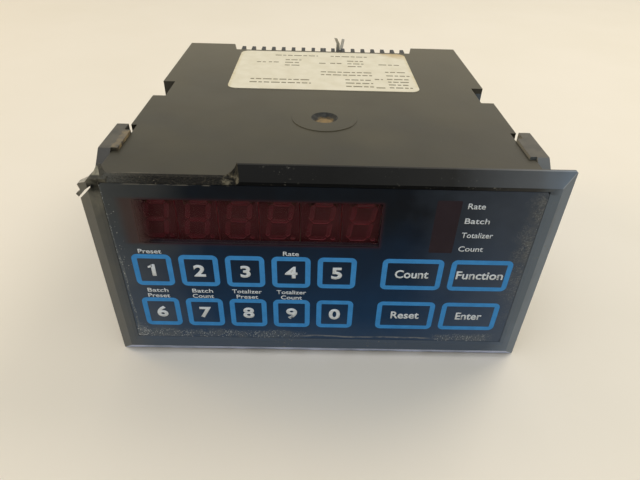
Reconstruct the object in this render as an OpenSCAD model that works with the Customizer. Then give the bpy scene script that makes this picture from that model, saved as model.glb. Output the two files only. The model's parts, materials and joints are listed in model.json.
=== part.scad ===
// Panel counter: a moulded housing with a bevelled bezel, a membrane front, six digits and rear terminals.
// +X is right seen from the front, +Y runs to the rear, +Z is up.
// The origin is the centre of the panel opening, on the rear face of the bezel.

/* [Bezel] */
// How far the bezel stands out past the housing at each side
flange_w = 6.1; // [5.5:0.1:10]
// How far the bezel stands out past the housing at the top and bottom
flange_h = 4.3; // [4:0.1:8]
// Thickness from the panel face to the front rim
bezel_t = 4; // [3.6:0.1:6]
// Width of the bevel seen from the front
bevel_in = 4.3; // [2:0.1:4.6]
// Straight edge between the panel face and the bevel
edge_land = 1.2; // [0.6:0.1:2]
// Radius of the bezel's outer corners
corner_r = 0.5; // [0.3:0.1:3]

/* [Break] */
// From the bezel's left edge to the missing stretch of its top edge
break_start = 10; // [9.4:0.1:14]
// From the bezel's left edge to the far end of that stretch
break_end = 42.1; // [34:0.1:54]
// How far the break runs down the front below the housing's top
break_drop = 1.5; // [0.5:0.1:1.6]
// Depth of bezel root left standing in front of the panel face
break_root = 1.6; // [0.5:0.1:2]
// Width of the crack at its middle
crack_w = 0.9; // [0.3:0.1:1.2]

/* [Overlay] */
// From each side of the bezel to the printed film
overlay_side = 7.7; // [7.2:0.1:9]
// From the bezel's top edge to the film
overlay_above = 5.8; // [5.7:0.1:7]
// From the bezel's lower edge to the film
overlay_below = 9.1; // [7:0.1:10]
// Thickness of the printed film
film_t = 0.3; // [0.2:0.05:0.4]
// Thickness of the spacer sheet under the film
spacer_t = 0.3; // [0.2:0.05:0.4]
// Thickness of the printed circuit sheet
circuit_t = 0.3; // [0.2:0.05:0.4]
// Depth of the film's face below the rim
overlay_sink = 0.35; // [0.2:0.05:0.6]
// Width of the slope from the rim down to the film
recess_slope = 1.2; // [0.6:0.1:1.3]
// Gap round the edge of the film and its sheets
film_gap = 0.15; // [0.05:0.05:0.3]

/* [Keys] */
// Width of a number key
key_w = 12.9; // [10:0.1:14]
// Height of every key
key_h = 13.3; // [10:0.1:16]
// Pitch of the number keys
key_pitch = 15.24; // [14.5:0.01:16]
// Pitch of the two rows of keys
key_row_pitch = 19; // [17:0.1:20]
// Width of a function key
function_key_w = 20.4; // [16:0.1:22]
// Pitch of the function keys
function_key_pitch = 22.86; // [22.2:0.01:24]
// From the film's left edge to the centre of the first number key
key_inset = 10.7; // [10:0.1:13]
// From the film's lower edge to the centre of the upper row of keys
key_rise = 31.6; // [29:0.1:33]
// From the film's right edge to the centre of the first function key
function_key_inset = 37; // [36:0.1:38]

/* [Display] */
// Width of the display window
window_w = 76.6; // [72:0.1:78]
// Height of the display window
window_h = 16.3; // [15:0.1:17]
// From the film's left edge to the centre of the display window
window_inset = 46.3; // [46:0.1:47.5]
// From the film's top edge to the centre of both windows
window_drop = 13.5; // [13:0.1:14]
// Width of the indicator window
lamp_window_w = 7.6; // [6:0.1:9]
// Height of the indicator window
lamp_window_h = 19.8; // [18:0.1:20]
// From the film's right edge to the centre of the indicator window
lamp_window_inset = 29.1; // [27:0.1:30.5]
// Width of the ledge that holds each filter from behind
filter_ledge = 1.4; // [0.8:0.1:2]
// Thickness of that ledge
filter_ledge_t = 1; // [0.6:0.1:1.4]
// Gap round a filter in its window
filter_gap = 0.1; // [0.05:0.05:0.3]
// Pitch of the digits
digit_pitch = 13; // [12.8:0.05:13.2]
// Width of a digit's moulding
digit_w = 12.6; // [12:0.1:12.7]
// Height of a digit's moulding
digit_h = 19; // [17:0.1:20]
// Depth of a digit's moulding
digit_depth = 8; // [6:0.1:9]
// Height of a character
character_h = 14.2; // [12:0.1:15]
// Width of a character between its side strokes
character_w = 6.4; // [5:0.1:7]
// Width of a stroke
stroke_w = 1.5; // [1:0.1:2]
// Lean of the characters in degrees
character_lean = 8; // [0:1:12]
// Height of the digits' centre below the window's centre
digit_drop = 1; // [0:0.1:1.5]
// Pitch of the indicator lamps
lamp_pitch = 5.35; // [4.6:0.05:5.4]
// Diameter of an indicator lamp
lamp_d = 3; // [2:0.1:4]

/* [Housing] */
// Width of the housing behind the panel
housing_w = 137; // [136:0.1:140]
// Height of the housing behind the panel
housing_h = 70.8; // [70:0.1:73]
// Length of the housing behind the panel face
housing_l = 140; // [138:0.5:160]
// Thickness of the housing's walls
wall = 2.5; // [2:0.1:3]
// Thickness of the front wall behind the membrane
front_wall = 2.5; // [2:0.1:3.5]
// Depth of the terminal bay cut into the top and bottom at the rear
bay_cut = 9.5; // [8:0.1:12]
// Width of the bay at the rear edge
bay_w = 91.8; // [88:0.1:96]
// How far each side of the bay leans in towards the front
bay_lean = 2; // [0:0.1:3]
// Start of the side notches behind the panel face
notch_y = 63.9; // [60:0.1:68]
// Length of a side notch
notch_l = 16.8; // [12:0.1:20]
// Depth of a side notch
notch_d = 5; // [4:0.1:5.5]
// Rear wall of the clip grooves behind the panel face
groove_y = 35; // [33:0.1:40]
// Depth of a clip groove
groove_d = 2.1; // [1:0.1:2.5]
// Length of a clip groove
groove_l = 20.5; // [16:0.1:22]
// Diameter of the gate dish in the top
gate_d = 12; // [9:0.1:13]
// Diameter of the gate dish's floor
gate_floor_d = 6.3; // [4:0.1:8]
// Depth of the gate dish below the top
gate_depth = 1.5; // [0.8:0.1:1.8]
// Diameter of the low pad round the gate dish
gate_pad_d = 24.2; // [18:0.1:26]
// Height of the low pad
gate_pad_h = 0.25; // [0.1:0.05:0.4]
// Distance of the gate behind the panel face
gate_y = 44.8; // [40:0.1:50]

/* [Clips] */
// Thickness of a mounting clip
clip_t = 4; // [3:0.1:5]
// How far a clip stands above and below the housing
clip_proud = 1; // [0.5:0.1:2]
// Free panel thickness between the bezel and a clip
panel_gap = 4; // [3:0.1:6]
// Length of a clip's full height behind its ramp
clip_l = 19.1; // [14:0.1:20]
// Lean of the ramp at the front of a clip, in degrees
clip_ramp = 40; // [30:1:50]
// Gap between a clip and the housing
clip_gap = 0.15; // [0.05:0.05:0.3]
// Distance of a clip's rear end from the rear wall of its groove
clip_play = 1.6; // [0.3:0.1:2]
// Free space left behind a clip's rib in its groove
rib_play = 6.5; // [3:0.1:9]

/* [Label] */
// Width of the label on the top
label_w = 81.3; // [70:0.1:84]
// Length of the label
label_l = 53.9; // [45:0.1:55]
// Thickness of the label
label_t = 0.2; // [0.1:0.05:0.3]
// Radius of the label's corners
label_r = 4; // [2:0.1:6]
// Distance from the bay's front edge to the label
label_margin = 2.4; // [1:0.1:4]

/* [Boards] */
// Thickness of the circuit boards
board_t = 1.6; // [1.2:0.1:2]
// Gap between a long board's edge and the housing's inner face
board_side_gap = 6; // [5.6:0.1:8]
// Depth of each long board's terminal side inside the housing's outer face
board_depth = 15.9; // [15:0.1:17]
// Gap between the display board and the long boards
board_front_gap = 2.85; // [2:0.05:4]
// Gap beside the display board
display_gap_x = 1.5; // [0.5:0.1:2]
// Gap above and below the display board
display_gap_z = 2.4; // [2:0.1:3]
// Clearance of a board in its guide rails
rail_gap = 0.1; // [0.05:0.05:0.2]
// Thickness of a guide rail
rail_t = 1.5; // [1:0.1:2]
// Reach of a guide rail over the board's edge
rail_reach = 1.2; // [0.8:0.1:2]
// Diameter of the display board's bosses
boss_d = 4.6; // [4.2:0.1:4.7]
// Diameter of the display board's screws
board_screw_d = 2.4; // [2:0.1:2.6]
// Inset of the bosses from the display board's edges
boss_inset = 2.4; // [2.4:0.1:2.5]

/* [Rear] */
// Thickness of the rear panel
rear_panel_t = 2.5; // [2:0.1:4]
// Depth of the rear panel's back face inside the housing's end
rear_depth = 15.5; // [14:0.1:18]
// Gap round the rear panel
rear_gap = 0.2; // [0.1:0.05:0.3]
// Side of the corner posts that take the rear screws
post_side = 8.5; // [7:0.1:10]
// Length of the corner posts
post_l = 18; // [12:0.5:24]
// Diameter of the rear screws
rear_screw_d = 3; // [2.4:0.1:3.5]

/* [Terminals] */
// Pitch of the terminals
terminal_pitch = 5.08; // [5:0.01:5.1]
// Number of terminals in each block
terminal_ways = 9; // [6:1:9]
// Depth of a terminal block behind the rear panel
block_depth = 12; // [11:0.1:13]
// Height of a block's deck above its board
deck_h = 11; // [10:0.1:12]
// Thickness of the barrier fins
fin_t = 1.8; // [1.2:0.1:1.8]
// Side of the wire entry
wire_entry = 3; // [2.6:0.1:3.2]
// Diameter of a terminal screw's head
terminal_head_d = 3; // [2.8:0.1:3]
// Diameter of a terminal screw's shank
terminal_screw_d = 2; // [1.6:0.1:2.2]
// Diameter of a terminal's solder pin
pin_d = 1; // [0.8:0.1:1.2]
// Terminal that holds the fork, counted from the middle
fork_way = 1; // [0:1:3]
// Height of the fork's prongs above the housing
fork_rise = 5; // [3:0.1:8]
// Thickness of the fork's metal
fork_t = 0.8; // [0.6:0.1:1]
// Width of one prong of the fork
prong_w = 1.5; // [1:0.1:1.8]
// Backward lean of the fork's right prong, in degrees
prong_lean = 20; // [0:1:20]

/* [Components] */
// Length of the processor chip
processor_l = 52; // [40:1:54]
// Length of the memory chip
memory_l = 36; // [28:1:38]
// Length of a driver chip
driver_l = 23; // [18:1:26]
// Height of the chips above the board
chip_h = 4.2; // [3.5:0.1:5]
// Width of the transformer's core
core_w = 44; // [40:0.5:46]
// Gap between the transformer's core and the logic board
core_gap = 5.8; // [2:0.1:8]
// Depth of the core's stack of laminations
core_stack = 18; // [14:0.5:22]
// Width of the core's middle leg
core_leg = 14; // [12:0.5:15]
// Height of a relay
relay_h = 19; // [14:0.5:24]
// Diameter of a filter capacitor
capacitor_d = 16; // [12:0.5:18]
// Height of a filter capacitor
capacitor_h = 26; // [20:0.5:32]
// Width of the heat sink
sink_w = 30; // [24:0.5:32]
// Height of the heat sink
sink_h = 24; // [22:0.5:30]

/* [Hidden] */
$fn = 48;
// Overcut that keeps subtracted shapes clear of coplanar faces
over = 1;
// Slack between solids that only rest against each other
slack = 0.05;
// Clearance of a screw or pin in its hole, on the diameter
hole_gap = 0.2;
// Numbers of digits, indicator lamps and keys
DIGITS = 6;
LAMPS = 4;
NUMBER_KEYS = 5;
FUNCTION_KEYS = 2;
KEY_ROWS = 2;

bezel_w = housing_w + 2 * flange_w;
bezel_h = housing_h + 2 * flange_h;
rim_y = -bezel_t;
film_y = rim_y + overlay_sink;
spacer_y = film_y + film_t;
circuit_y = spacer_y + spacer_t;
floor_y = circuit_y + circuit_t;
cavity_y = floor_y + front_wall;
half_w = housing_w / 2;
half_h = housing_h / 2;
in_x = half_w - wall;
in_z = half_h - wall;
bay_y = housing_l - bay_cut;
break_left = break_start - bezel_w / 2;
break_right = break_end - bezel_w / 2;
overlay_w = bezel_w - 2 * overlay_side;
overlay_top = bezel_h / 2 - overlay_above;
overlay_bottom = overlay_below - bezel_h / 2;
overlay_h = overlay_top - overlay_bottom;
overlay_lift = (overlay_top + overlay_bottom) / 2;
sheet_r = 1;
key_x = key_inset - overlay_w / 2;
key_z = overlay_bottom + key_rise;
function_key_x = overlay_w / 2 - function_key_inset;

window_x = window_inset - overlay_w / 2;
window_z = overlay_top - window_drop;
lamp_window_x = overlay_w / 2 - lamp_window_inset;
digit_z = window_z - digit_drop;
digit_x = window_x - digit_pitch * (DIGITS - 1) / 2;
segment_depth = 0.3;
segment_gap = 0.3;
display_board_y = cavity_y + digit_depth;
display_board_back = display_board_y + board_t;
display_board_w = 2 * (in_x - display_gap_x);
display_board_h = 2 * (in_z - display_gap_z);
boss_x = display_board_w / 2 - boss_inset;
boss_z = display_board_h / 2 - boss_inset;
boss_hole = 5;
board_y = display_board_back + board_front_gap;
board_w = 2 * (in_x - board_side_gap);
board_z = half_h - board_depth;
inner_face = board_z - board_t;

tail_x = 0;
tail_w = 14;
tail_rise = 3.1;
tail_z = tail_rise - display_board_h / 2;
socket_reach = 5;
socket_side = 2;
socket_w = tail_w + 2 * socket_side;
socket_h = 4;

rear_back = housing_l - rear_depth;
rear_front = rear_back - rear_panel_t;
post_x = in_x - post_side / 2;
post_z = in_z - post_side / 2;
post_hole = 9;

block_y = rear_back + slack;
block_l = terminal_ways * terminal_pitch;
tongue_gap = 0.3;
low_fin_h = in_z - board_z - tongue_gap;
high_fin_h = half_h - board_z;
high_fin_y = bay_y + tongue_gap - block_y;
entry_z = 1.5;
neck_h = 2.5;
head_h = 1.6;
head_z = entry_z + wire_entry + neck_h;
cage_wall = 0.5;
cage_l = 6;
cage_y = block_depth - cage_wall - cage_l;
screw_y = cage_y + cage_l / 2;
pin_below = 0.8;

clip_x = half_w + clip_gap;
clip_back = groove_y - clip_play;
clip_front = clip_back - clip_l;
clip_z = half_h + clip_proud;
clip_foot_z = clip_z - (clip_front - panel_gap) * tan(clip_ramp);

// Jagged edge of the lost corner, measured from the bezel's outer corner
CORNER_EDGE = [
    [-2.5, -12.3], [-1.1, -11.2], [0.9, -9.5], [0.1, -7.8], [0.9, -7], [3.6, -5.7],
    [5.2, -4.2], [6.7, -2.7], [7.7, -0.9], [8.2, -1.4], [8.5, -2.9], [8.8, -4.1]
];
// The splinter bent out past the side edge between the lost corner and the crack
SPLINTER = [[1.2, -9], [-1.1, -11.2], [-0.3, -12.3], [1.2, -12]];
// Upper edge of the crack about its middle, from mouth to tip, with its width there as a share
CRACK = [[-4.5, -2.7, 0.55], [-2, -1, 0.8], [-0.1, 0.5, 1], [1.6, 1.3, 0.4]];
// Middle of the crack in the rim, measured from the same corner
crack_at = [3.5, -8.6];
// Slant of the crack through the bezel, down and to the left, in degrees
crack_pitch = 28;
crack_yaw = 27;
// Right end of the missing stretch across its tear, in parts of the bezel's overhang
BREAK_END = [[0.58, 0.11], [0.96, 0.42], [1.2, 0.69], [1.34, 0.95], [1.45, 2.6]];
// Slant of the tear through the bezel, down and to the right on its way to the front, in degrees
tear_pitch = 40;
tear_yaw = 17;

// Heights of the screw heads on the display board and the rear panel
board_head_h = 1.6;
rear_head_h = 2;
// Diameter of a screw's head in parts of its shank
HEAD_RATIO = 1.8;

// Grid of the chips' legs and of the header's contacts
leg_pitch = 2.54;
// Row spacing of the wide and narrow chips
wide_row = 15.24;
narrow_row = 7.62;
// Places of the parts on the logic board
processor_at = [-30, 62];
memory_at = [-4, 84];
driver_1_at = [18, 40];
driver_2_at = [34, 40];
crystal_at = [20, 66];
// Width, length and height of the clock crystal
crystal_size = [4.6, 11, 3.6];

// Places of the parts on the power board
core_inset = 30;
core_at = [core_inset - board_w / 2, 84];
core_h = 2 * inner_face - core_gap;
relay_inset = 24;
relay_1_at = [22, rear_front - relay_inset];
relay_2_at = [42, rear_front - relay_inset];
capacitor_1_at = [-38, 40];
capacitor_2_at = [-18, 40];
sink_at = [24, 52];
// Height of the core's yokes and width of its windows
yoke = core_leg / 2;
core_window = (core_w - 2 * core_leg) / 2;
// Plan of a relay and the inset of its cover
relay_plan = [13, 28];
cover_inset = 0.3;
// Base of the heat sink and the regulator bolted to it
sink_base = 3;
sink_fin_t = 1.2;
sink_reach = 9;
sink_screw_d = 3;
regulator_w = 10;
regulator_body = [5, 13.5];
regulator_t = 4.4;
tab_t = 1.3;
tab_top = 20;
tab_hole_z = 17;

// Name, side and level of each terminal block
BLOCKS = [
    ["upper_left", -1, 1],
    ["upper_right", 1, 1],
    ["lower_left", -1, -1],
    ["lower_right", 1, -1]
];

// A box given by its limits along X, Y and Z
module span(x, y, z) {
    translate([x[0], y[0], z[0]])
        cube([x[1] - x[0], y[1] - y[0], z[1] - z[0]]);
}

// Raises a front view, drawn in X and Z, from one depth to another
module front_extrude(y) {
    translate([0, y[1], 0])
        rotate([90, 0, 0])
            linear_extrude(y[1] - y[0])
                children();
}

// Raises a side view, drawn in Y and Z, from one X to another
module side_extrude(x) {
    translate([x[0], 0, 0])
        rotate([90, 0, 90])
            linear_extrude(x[1] - x[0])
                children();
}

// Raises a plan, drawn in X and Y, from one height to another
module top_extrude(z) {
    translate([0, 0, z[0]])
        linear_extrude(z[1] - z[0])
            children();
}

// A cylinder that runs to the rear from a point
module rod(at, d, l) {
    translate(at)
        rotate([-90, 0, 0])
            cylinder(d = d, h = l);
}

// A rectangle about its centre with round corners
module round_rect(w, h, r) {
    square([w - 2 * r, h], center = true);
    square([w, h - 2 * r], center = true);
    for (x = [-1, 1], y = [-1, 1])
        translate([x * (w / 2 - r), y * (h / 2 - r)])
            circle(r);
}

// A copy on each side of the X middle
module both_sides() {
    children();
    mirror([1, 0, 0])
        children();
}

// A copy above and below the Z middle
module both_levels() {
    children();
    mirror([0, 0, 1])
        children();
}

// Section of the bezel across its depth, from one edge to the other
function bevel_section(half) = [
    [0, -half], [0, half], [-edge_land, half],
    [rim_y, half - bevel_in], [rim_y, bevel_in - half], [-edge_land, -half]
];

// Section of the recess that takes the film and its sheets
function recess_section(low, high) = [
    [floor_y, low], [floor_y, high], [film_y, high], [rim_y, high + recess_slope],
    [rim_y - over, high + recess_slope], [rim_y - over, low - recess_slope],
    [rim_y, low - recess_slope], [film_y, low]
];

// Swaps a section's depth and size for use in plan
function turned(points) = [for (p = points) [p[1], p[0]]];

// The bezel's slab with mitred bevels on all four sides
module bezel_slab() {
    intersection() {
        side_extrude([-bezel_w, bezel_w])
            polygon(bevel_section(bezel_h / 2));
        top_extrude([-bezel_h, bezel_h])
            polygon(turned(bevel_section(bezel_w / 2)));
        front_extrude([rim_y, 0])
            round_rect(bezel_w, bezel_h, corner_r);
    }
}

// The sunk field in the rim, with sloped edges
module overlay_recess() {
    reach = overlay_w / 2 + film_gap;
    intersection() {
        side_extrude([-bezel_w, bezel_w])
            polygon(recess_section(overlay_bottom - film_gap, overlay_top + film_gap));
        top_extrude([-bezel_h, bezel_h])
            polygon(turned(recess_section(-reach, reach)));
    }
}

// The missing stretch of the top edge: the front slopes down from the root to the film, up to a slanted tear
module lost_edge() {
    climb = bezel_h / 2 - half_h;
    intersection() {
        side_extrude([break_left, 0])
            polygon([
                [0, half_h], [-break_root, half_h], [rim_y, half_h - break_drop],
                [rim_y - over, half_h - break_drop], [rim_y - over, bezel_h], [0, bezel_h]
            ]);
        union() {
            span([break_left, break_right], [rim_y - over, over], [0, bezel_h]);
            translate([break_right, 0, half_h])
                rotate([tear_pitch, 0, tear_yaw])
                    front_extrude([-3 * bezel_t, 2 * bezel_t])
                        polygon(climb * concat([[-1, 2.6], [-1, -1]], BREAK_END));
        }
    }
}

// The lost left corner, a jagged diagonal from the side edge to the missing stretch
module lost_corner() {
    end = break_left + bezel_w / 2;
    left = CORNER_EDGE[0][0];
    translate([-bezel_w / 2, 0, bezel_h / 2])
        front_extrude([rim_y - over, 0])
            polygon(concat(CORNER_EDGE, [[end, half_h - bezel_h / 2], [end, over], [left, over]]));
}

// The splinter beside the lost corner, as thick as the bezel's edge
module splinter() {
    translate([-bezel_w / 2, 0, bezel_h / 2])
        front_extrude([-edge_land, 0])
            polygon(SPLINTER);
}

// The crack that runs in from the side edge below the lost corner
module crack() {
    back = [for (i = [len(CRACK) - 1:-1:0]) [CRACK[i][0], CRACK[i][1] - crack_w * CRACK[i][2]]];
    translate([crack_at[0] - bezel_w / 2, rim_y, crack_at[1] + bezel_h / 2])
        rotate([-crack_pitch, 0, crack_yaw])
            front_extrude([-bezel_t, 3 * bezel_t])
                polygon(concat([for (p = CRACK) [p[0], p[1]]], back));
}

// A filter's window with the rebate for its ledge
module filter_opening(w, h) {
    front_extrude([floor_y - over, cavity_y + over])
        square([w, h], center = true);
    front_extrude([cavity_y - filter_ledge_t, cavity_y + over])
        square([w + 2 * filter_ledge, h + 2 * filter_ledge], center = true);
}

// The space inside the housing, kept clear of the notch, groove and gate walls
module cavity() {
    difference() {
        span([-in_x, in_x], [cavity_y, housing_l + over], [-in_z, in_z]);
        both_sides() {
            span([in_x - notch_d, half_w], [notch_y - wall, notch_y + notch_l + wall], [-half_h, half_h]);
            span([in_x - groove_d, half_w], [groove_y - groove_l - wall, groove_y + wall], [-half_h, half_h]);
        }
        translate([0, gate_y, in_z - gate_depth])
            cylinder(d = gate_d + 2 * wall, h = wall + gate_depth);
    }
}

// Rails above and below the edge of one long board
module guide_rails() {
    edge = board_w / 2 + rail_gap;
    low = inner_face - rail_gap;
    high = board_z + rail_gap;
    ends = [board_y, rear_front - slack];
    span([edge - rail_reach, half_w - wall / 2], ends, [low - rail_t, low]);
    span([edge - rail_reach, half_w - wall / 2], ends, [high, high + rail_t]);
    span([edge, half_w - wall / 2], ends, [low - rail_t / 2, high + rail_t / 2]);
}

// A corner post that takes a rear screw
module rear_post() {
    span([in_x - post_side, half_w - wall / 2], [rear_front - post_l, rear_front - slack],
        [in_z - post_side, half_h - wall / 2]);
}

// The low pad round the moulding gate
module gate_pad() {
    translate([0, gate_y, half_h - over])
        cylinder(d = gate_pad_d, h = gate_pad_h + over);
}

// The dish left by the moulding gate, down through its pad
module gate_dish() {
    translate([0, gate_y, half_h - gate_depth])
        cylinder(d1 = gate_floor_d, d2 = gate_d, h = gate_depth + gate_pad_h + over);
}

// The cut that opens the terminals to the top and bottom
module terminal_bay() {
    top_extrude([-bezel_h, bezel_h])
        polygon([
            [-bay_w / 2 - bay_lean, housing_l + bay_cut], [bay_w / 2 + bay_lean, housing_l + bay_cut],
            [bay_w / 2 - bay_lean, bay_y], [bay_lean - bay_w / 2, bay_y]
        ]);
}

// A cut down the whole height of one side, to a depth and between two distances
module side_cut(depth, from, to) {
    span([half_w - depth, half_w + over], [from, to], [-bezel_h, bezel_h]);
}

// The blind holes of one display boss and one rear post
module screw_holes() {
    boss_bore = board_screw_d + 2 * slack;
    post_bore = rear_screw_d + 2 * slack;
    rod([boss_x, display_board_y - boss_hole, boss_z], boss_bore, boss_hole + over);
    rod([post_x, rear_front - post_hole, post_z], post_bore, post_hole + over);
}

// One moulding: bezel, front wall, sleeve, ears, notches, rails, bosses and posts
module housing() {
    color("#2b2b29")
        difference() {
            union() {
                difference() {
                    union() {
                        bezel_slab();
                        splinter();
                        span([-half_w, half_w], [-edge_land, housing_l], [-half_h, half_h]);
                    }
                    cavity();
                }
                gate_pad();
                both_sides()
                    both_levels() {
                        guide_rails();
                        rear_post();
                        rod([boss_x, floor_y + front_wall / 2, boss_z], boss_d, digit_depth + front_wall / 2);
                    }
            }
            overlay_recess();
            lost_edge();
            lost_corner();
            crack();
            translate([window_x, 0, window_z])
                filter_opening(window_w, window_h);
            translate([lamp_window_x, 0, window_z])
                filter_opening(lamp_window_w, lamp_window_h);
            translate([tail_x, 0, tail_z])
                front_extrude([floor_y - over, cavity_y + over])
                    square([tail_w + 2 * tongue_gap, circuit_t + 2 * tongue_gap], center = true);
            gate_dish();
            terminal_bay();
            both_sides() {
                side_cut(notch_d, notch_y, notch_y + notch_l);
                side_cut(groove_d, groove_y - groove_l, groove_y);
                both_levels()
                    screw_holes();
            }
        }
}

// A push-on clip: a ramped side plate with a rib that sits in the housing's groove
module mounting_clip() {
    groove_w = 1.2;
    groove_floor = clip_x + 0.8 * clip_t;
    difference() {
        union() {
            side_extrude([clip_x, clip_x + clip_t])
                polygon([
                    [clip_back, -clip_z], [clip_back, clip_z], [clip_front, clip_z], [panel_gap, clip_foot_z],
                    [panel_gap, -clip_foot_z], [clip_front, -clip_z]
                ]);
            span([half_w - groove_d + clip_gap, clip_x + over],
                [groove_y - groove_l + clip_gap, groove_y - rib_play], [-clip_z, clip_z]);
        }
        for (z = [-3:3])
            translate([0, 0, 3 * groove_w * z])
                span([groove_floor, clip_x + clip_t + over], [panel_gap - over, clip_back + over],
                    [-groove_w / 2, groove_w / 2]);
    }
}

module mounting_clip_right() {
    color("#30302d")
        mounting_clip();
}

module mounting_clip_left() {
    color("#30302d")
        mirror([1, 0, 0])
            mounting_clip();
}

// A thin label stuck to the top in front of the terminal bay
module top_label() {
    color("#e6e0cb")
        translate([0, bay_y - label_margin - label_l / 2, 0])
            top_extrude([half_h, half_h + label_t])
                round_rect(label_w, label_l, label_r);
}

// Outline of the front film and of the sheets under it
module sheet_outline() {
    translate([0, overlay_lift])
        round_rect(overlay_w, overlay_h, sheet_r);
}

// Both windows as seen from the front
module window_outlines() {
    translate([window_x, window_z])
        square([window_w, window_h], center = true);
    translate([lamp_window_x, window_z])
        square([lamp_window_w, lamp_window_h], center = true);
}

// All key fields as seen from the front
module key_outlines() {
    for (row = [0:KEY_ROWS - 1])
        translate([0, key_z - row * key_row_pitch]) {
            for (i = [0:NUMBER_KEYS - 1])
                translate([key_x + i * key_pitch, 0])
                    square([key_w, key_h], center = true);
            for (i = [0:FUNCTION_KEYS - 1])
                translate([function_key_x + i * function_key_pitch, 0])
                    square([function_key_w, key_h], center = true);
        }
}

module overlay_film() {
    color("#101822")
        front_extrude([film_y, spacer_y])
            sheet_outline();
}

module key_spacer() {
    color("#d9d5c8")
        front_extrude([spacer_y, circuit_y])
            difference() {
                sheet_outline();
                window_outlines();
                key_outlines();
            }
}

// The printed sheet under the keys, with its tail through the front wall
module key_circuit() {
    color("#c9c7bd") {
        front_extrude([circuit_y, floor_y])
            difference() {
                sheet_outline();
                window_outlines();
            }
        translate([tail_x, 0, tail_z])
            front_extrude([circuit_y, display_board_y - socket_reach / 2])
                square([tail_w, circuit_t], center = true);
    }
}

// A red filter that fills a window, held by a ledge on its rear
module window_filter(w, h) {
    front_extrude([floor_y, cavity_y])
        square([w - 2 * filter_gap, h - 2 * filter_gap], center = true);
    front_extrude([cavity_y - filter_ledge_t + slack, cavity_y])
        square([w + 2 * filter_ledge - 2 * filter_gap, h + 2 * filter_ledge - 2 * filter_gap], center = true);
}

module display_filter() {
    color("#5a0d12")
        translate([window_x, 0, window_z])
            window_filter(window_w, window_h);
}

module indicator_filter() {
    color("#5a0d12")
        translate([lamp_window_x, 0, window_z])
            window_filter(lamp_window_w, lamp_window_h);
}

// Leans a point of a character to the right
function leaned(p) = [p[0] + p[1] * tan(character_lean), p[1]];

// A stroke with pointed ends between two points
function stroke(a, b) =
    let (d = (b - a) / norm(b - a), n = [-d[1], d[0]], h = stroke_w / 2)
    let (s = a + segment_gap * d, e = b - segment_gap * d)
    [s, s + h * (d + n), e + h * (n - d), e, e - h * (d + n), s + h * (d - n)];

// The seven strokes and the point of one character
module seven_strokes() {
    x = character_w / 2;
    z = (character_h - stroke_w) / 2;
    for (s = [[[-x, z], [x, z]], [[-x, 0], [x, 0]], [[-x, -z], [x, -z]],
            [[-x, 0], [-x, z]], [[x, 0], [x, z]], [[-x, -z], [-x, 0]], [[x, -z], [x, 0]]])
        polygon([for (p = stroke(s[0], s[1])) leaned(p)]);
    translate([x + 1.2 * stroke_w - z * tan(character_lean), -z])
        circle(d = stroke_w);
}

// One digit: a moulding with its strokes sunk into the face
module digit(i) {
    color("#4a2a2a")
        translate([digit_x + i * digit_pitch, 0, digit_z])
            difference() {
                front_extrude([cavity_y, display_board_y])
                    square([digit_w, digit_h], center = true);
                front_extrude([cavity_y - over, cavity_y + segment_depth])
                    seven_strokes();
            }
}

// One round indicator lamp with its flange and two leads
module indicator_lamp(i) {
    body_l = 5;
    flange_t = 1;
    flange_d = lamp_d + 0.8;
    lead_w = 0.5;
    lead_x = leg_pitch / 2;
    base_y = cavity_y + slack + body_l;
    color("#8a1a1a")
        translate([lamp_window_x, 0, window_z + lamp_pitch * ((LAMPS - 1) / 2 - i)]) {
            rod([0, base_y - body_l + lamp_d / 2, 0], lamp_d, body_l - lamp_d / 2);
            translate([0, base_y - body_l + lamp_d / 2, 0])
                sphere(d = lamp_d);
            rod([0, base_y - flange_t, 0], flange_d, flange_t);
            for (x = [-lead_x, lead_x])
                translate([x, 0, 0])
                    front_extrude([base_y - flange_t / 2, display_board_y])
                        square(lead_w, center = true);
        }
}

module display_board() {
    hole = board_screw_d + hole_gap;
    color("#2f6b3c")
        difference() {
            front_extrude([display_board_y, display_board_back])
                square([display_board_w, display_board_h], center = true);
            both_sides()
                both_levels()
                    rod([boss_x, display_board_y - over, boss_z], hole, board_t + 2 * over);
        }
}

// A slotted screw that points to the front, from its head's seat
module slotted_screw(at, d, l, head_l) {
    head_d = HEAD_RATIO * d;
    slot = head_d / 5;
    difference() {
        union() {
            rod([at[0], at[1] - l, at[2]], d, l + head_l / 2);
            rod(at, head_d, head_l);
        }
        translate(at)
            span([-head_d, head_d], [head_l / 2, head_l + over], [-slot / 2, slot / 2]);
    }
}

module display_screws() {
    length = board_t + boss_hole - 2 * slack;
    color("#b9bcbe")
        for (x = [-boss_x, boss_x], z = [-boss_z, boss_z])
            slotted_screw([x, display_board_back, z], board_screw_d, length, board_head_h);
}

// The socket on the display board that takes the membrane's tail
module tail_socket() {
    mouth = display_board_y - socket_reach;
    color("#e9e6da")
        translate([tail_x, 0, tail_z])
            difference() {
                front_extrude([mouth, display_board_y])
                    square([socket_w, socket_h], center = true);
                front_extrude([mouth - over, mouth + socket_reach / 2 + slack])
                    square([tail_w + 2 * slack, circuit_t + 2 * slack], center = true);
            }
}

// A strip that joins a long board to the display board, with a row of contact wells
module header_strip() {
    wells = 20;
    well = 1;
    height = 6;
    length = (wells + 1) * leg_pitch;
    difference() {
        span([-length / 2, length / 2], [display_board_back, board_y + height], [board_z, board_z + height]);
        for (i = [0:wells - 1])
            translate([(i - (wells - 1) / 2) * leg_pitch, board_y + height / 2, board_z])
                span([-well / 2, well / 2], [-well / 2, well / 2], [height / 2, height + over]);
    }
}

module upper_header() {
    color("#262626")
        header_strip();
}

module lower_header() {
    color("#262626")
        mirror([0, 0, 1])
            header_strip();
}

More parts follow.
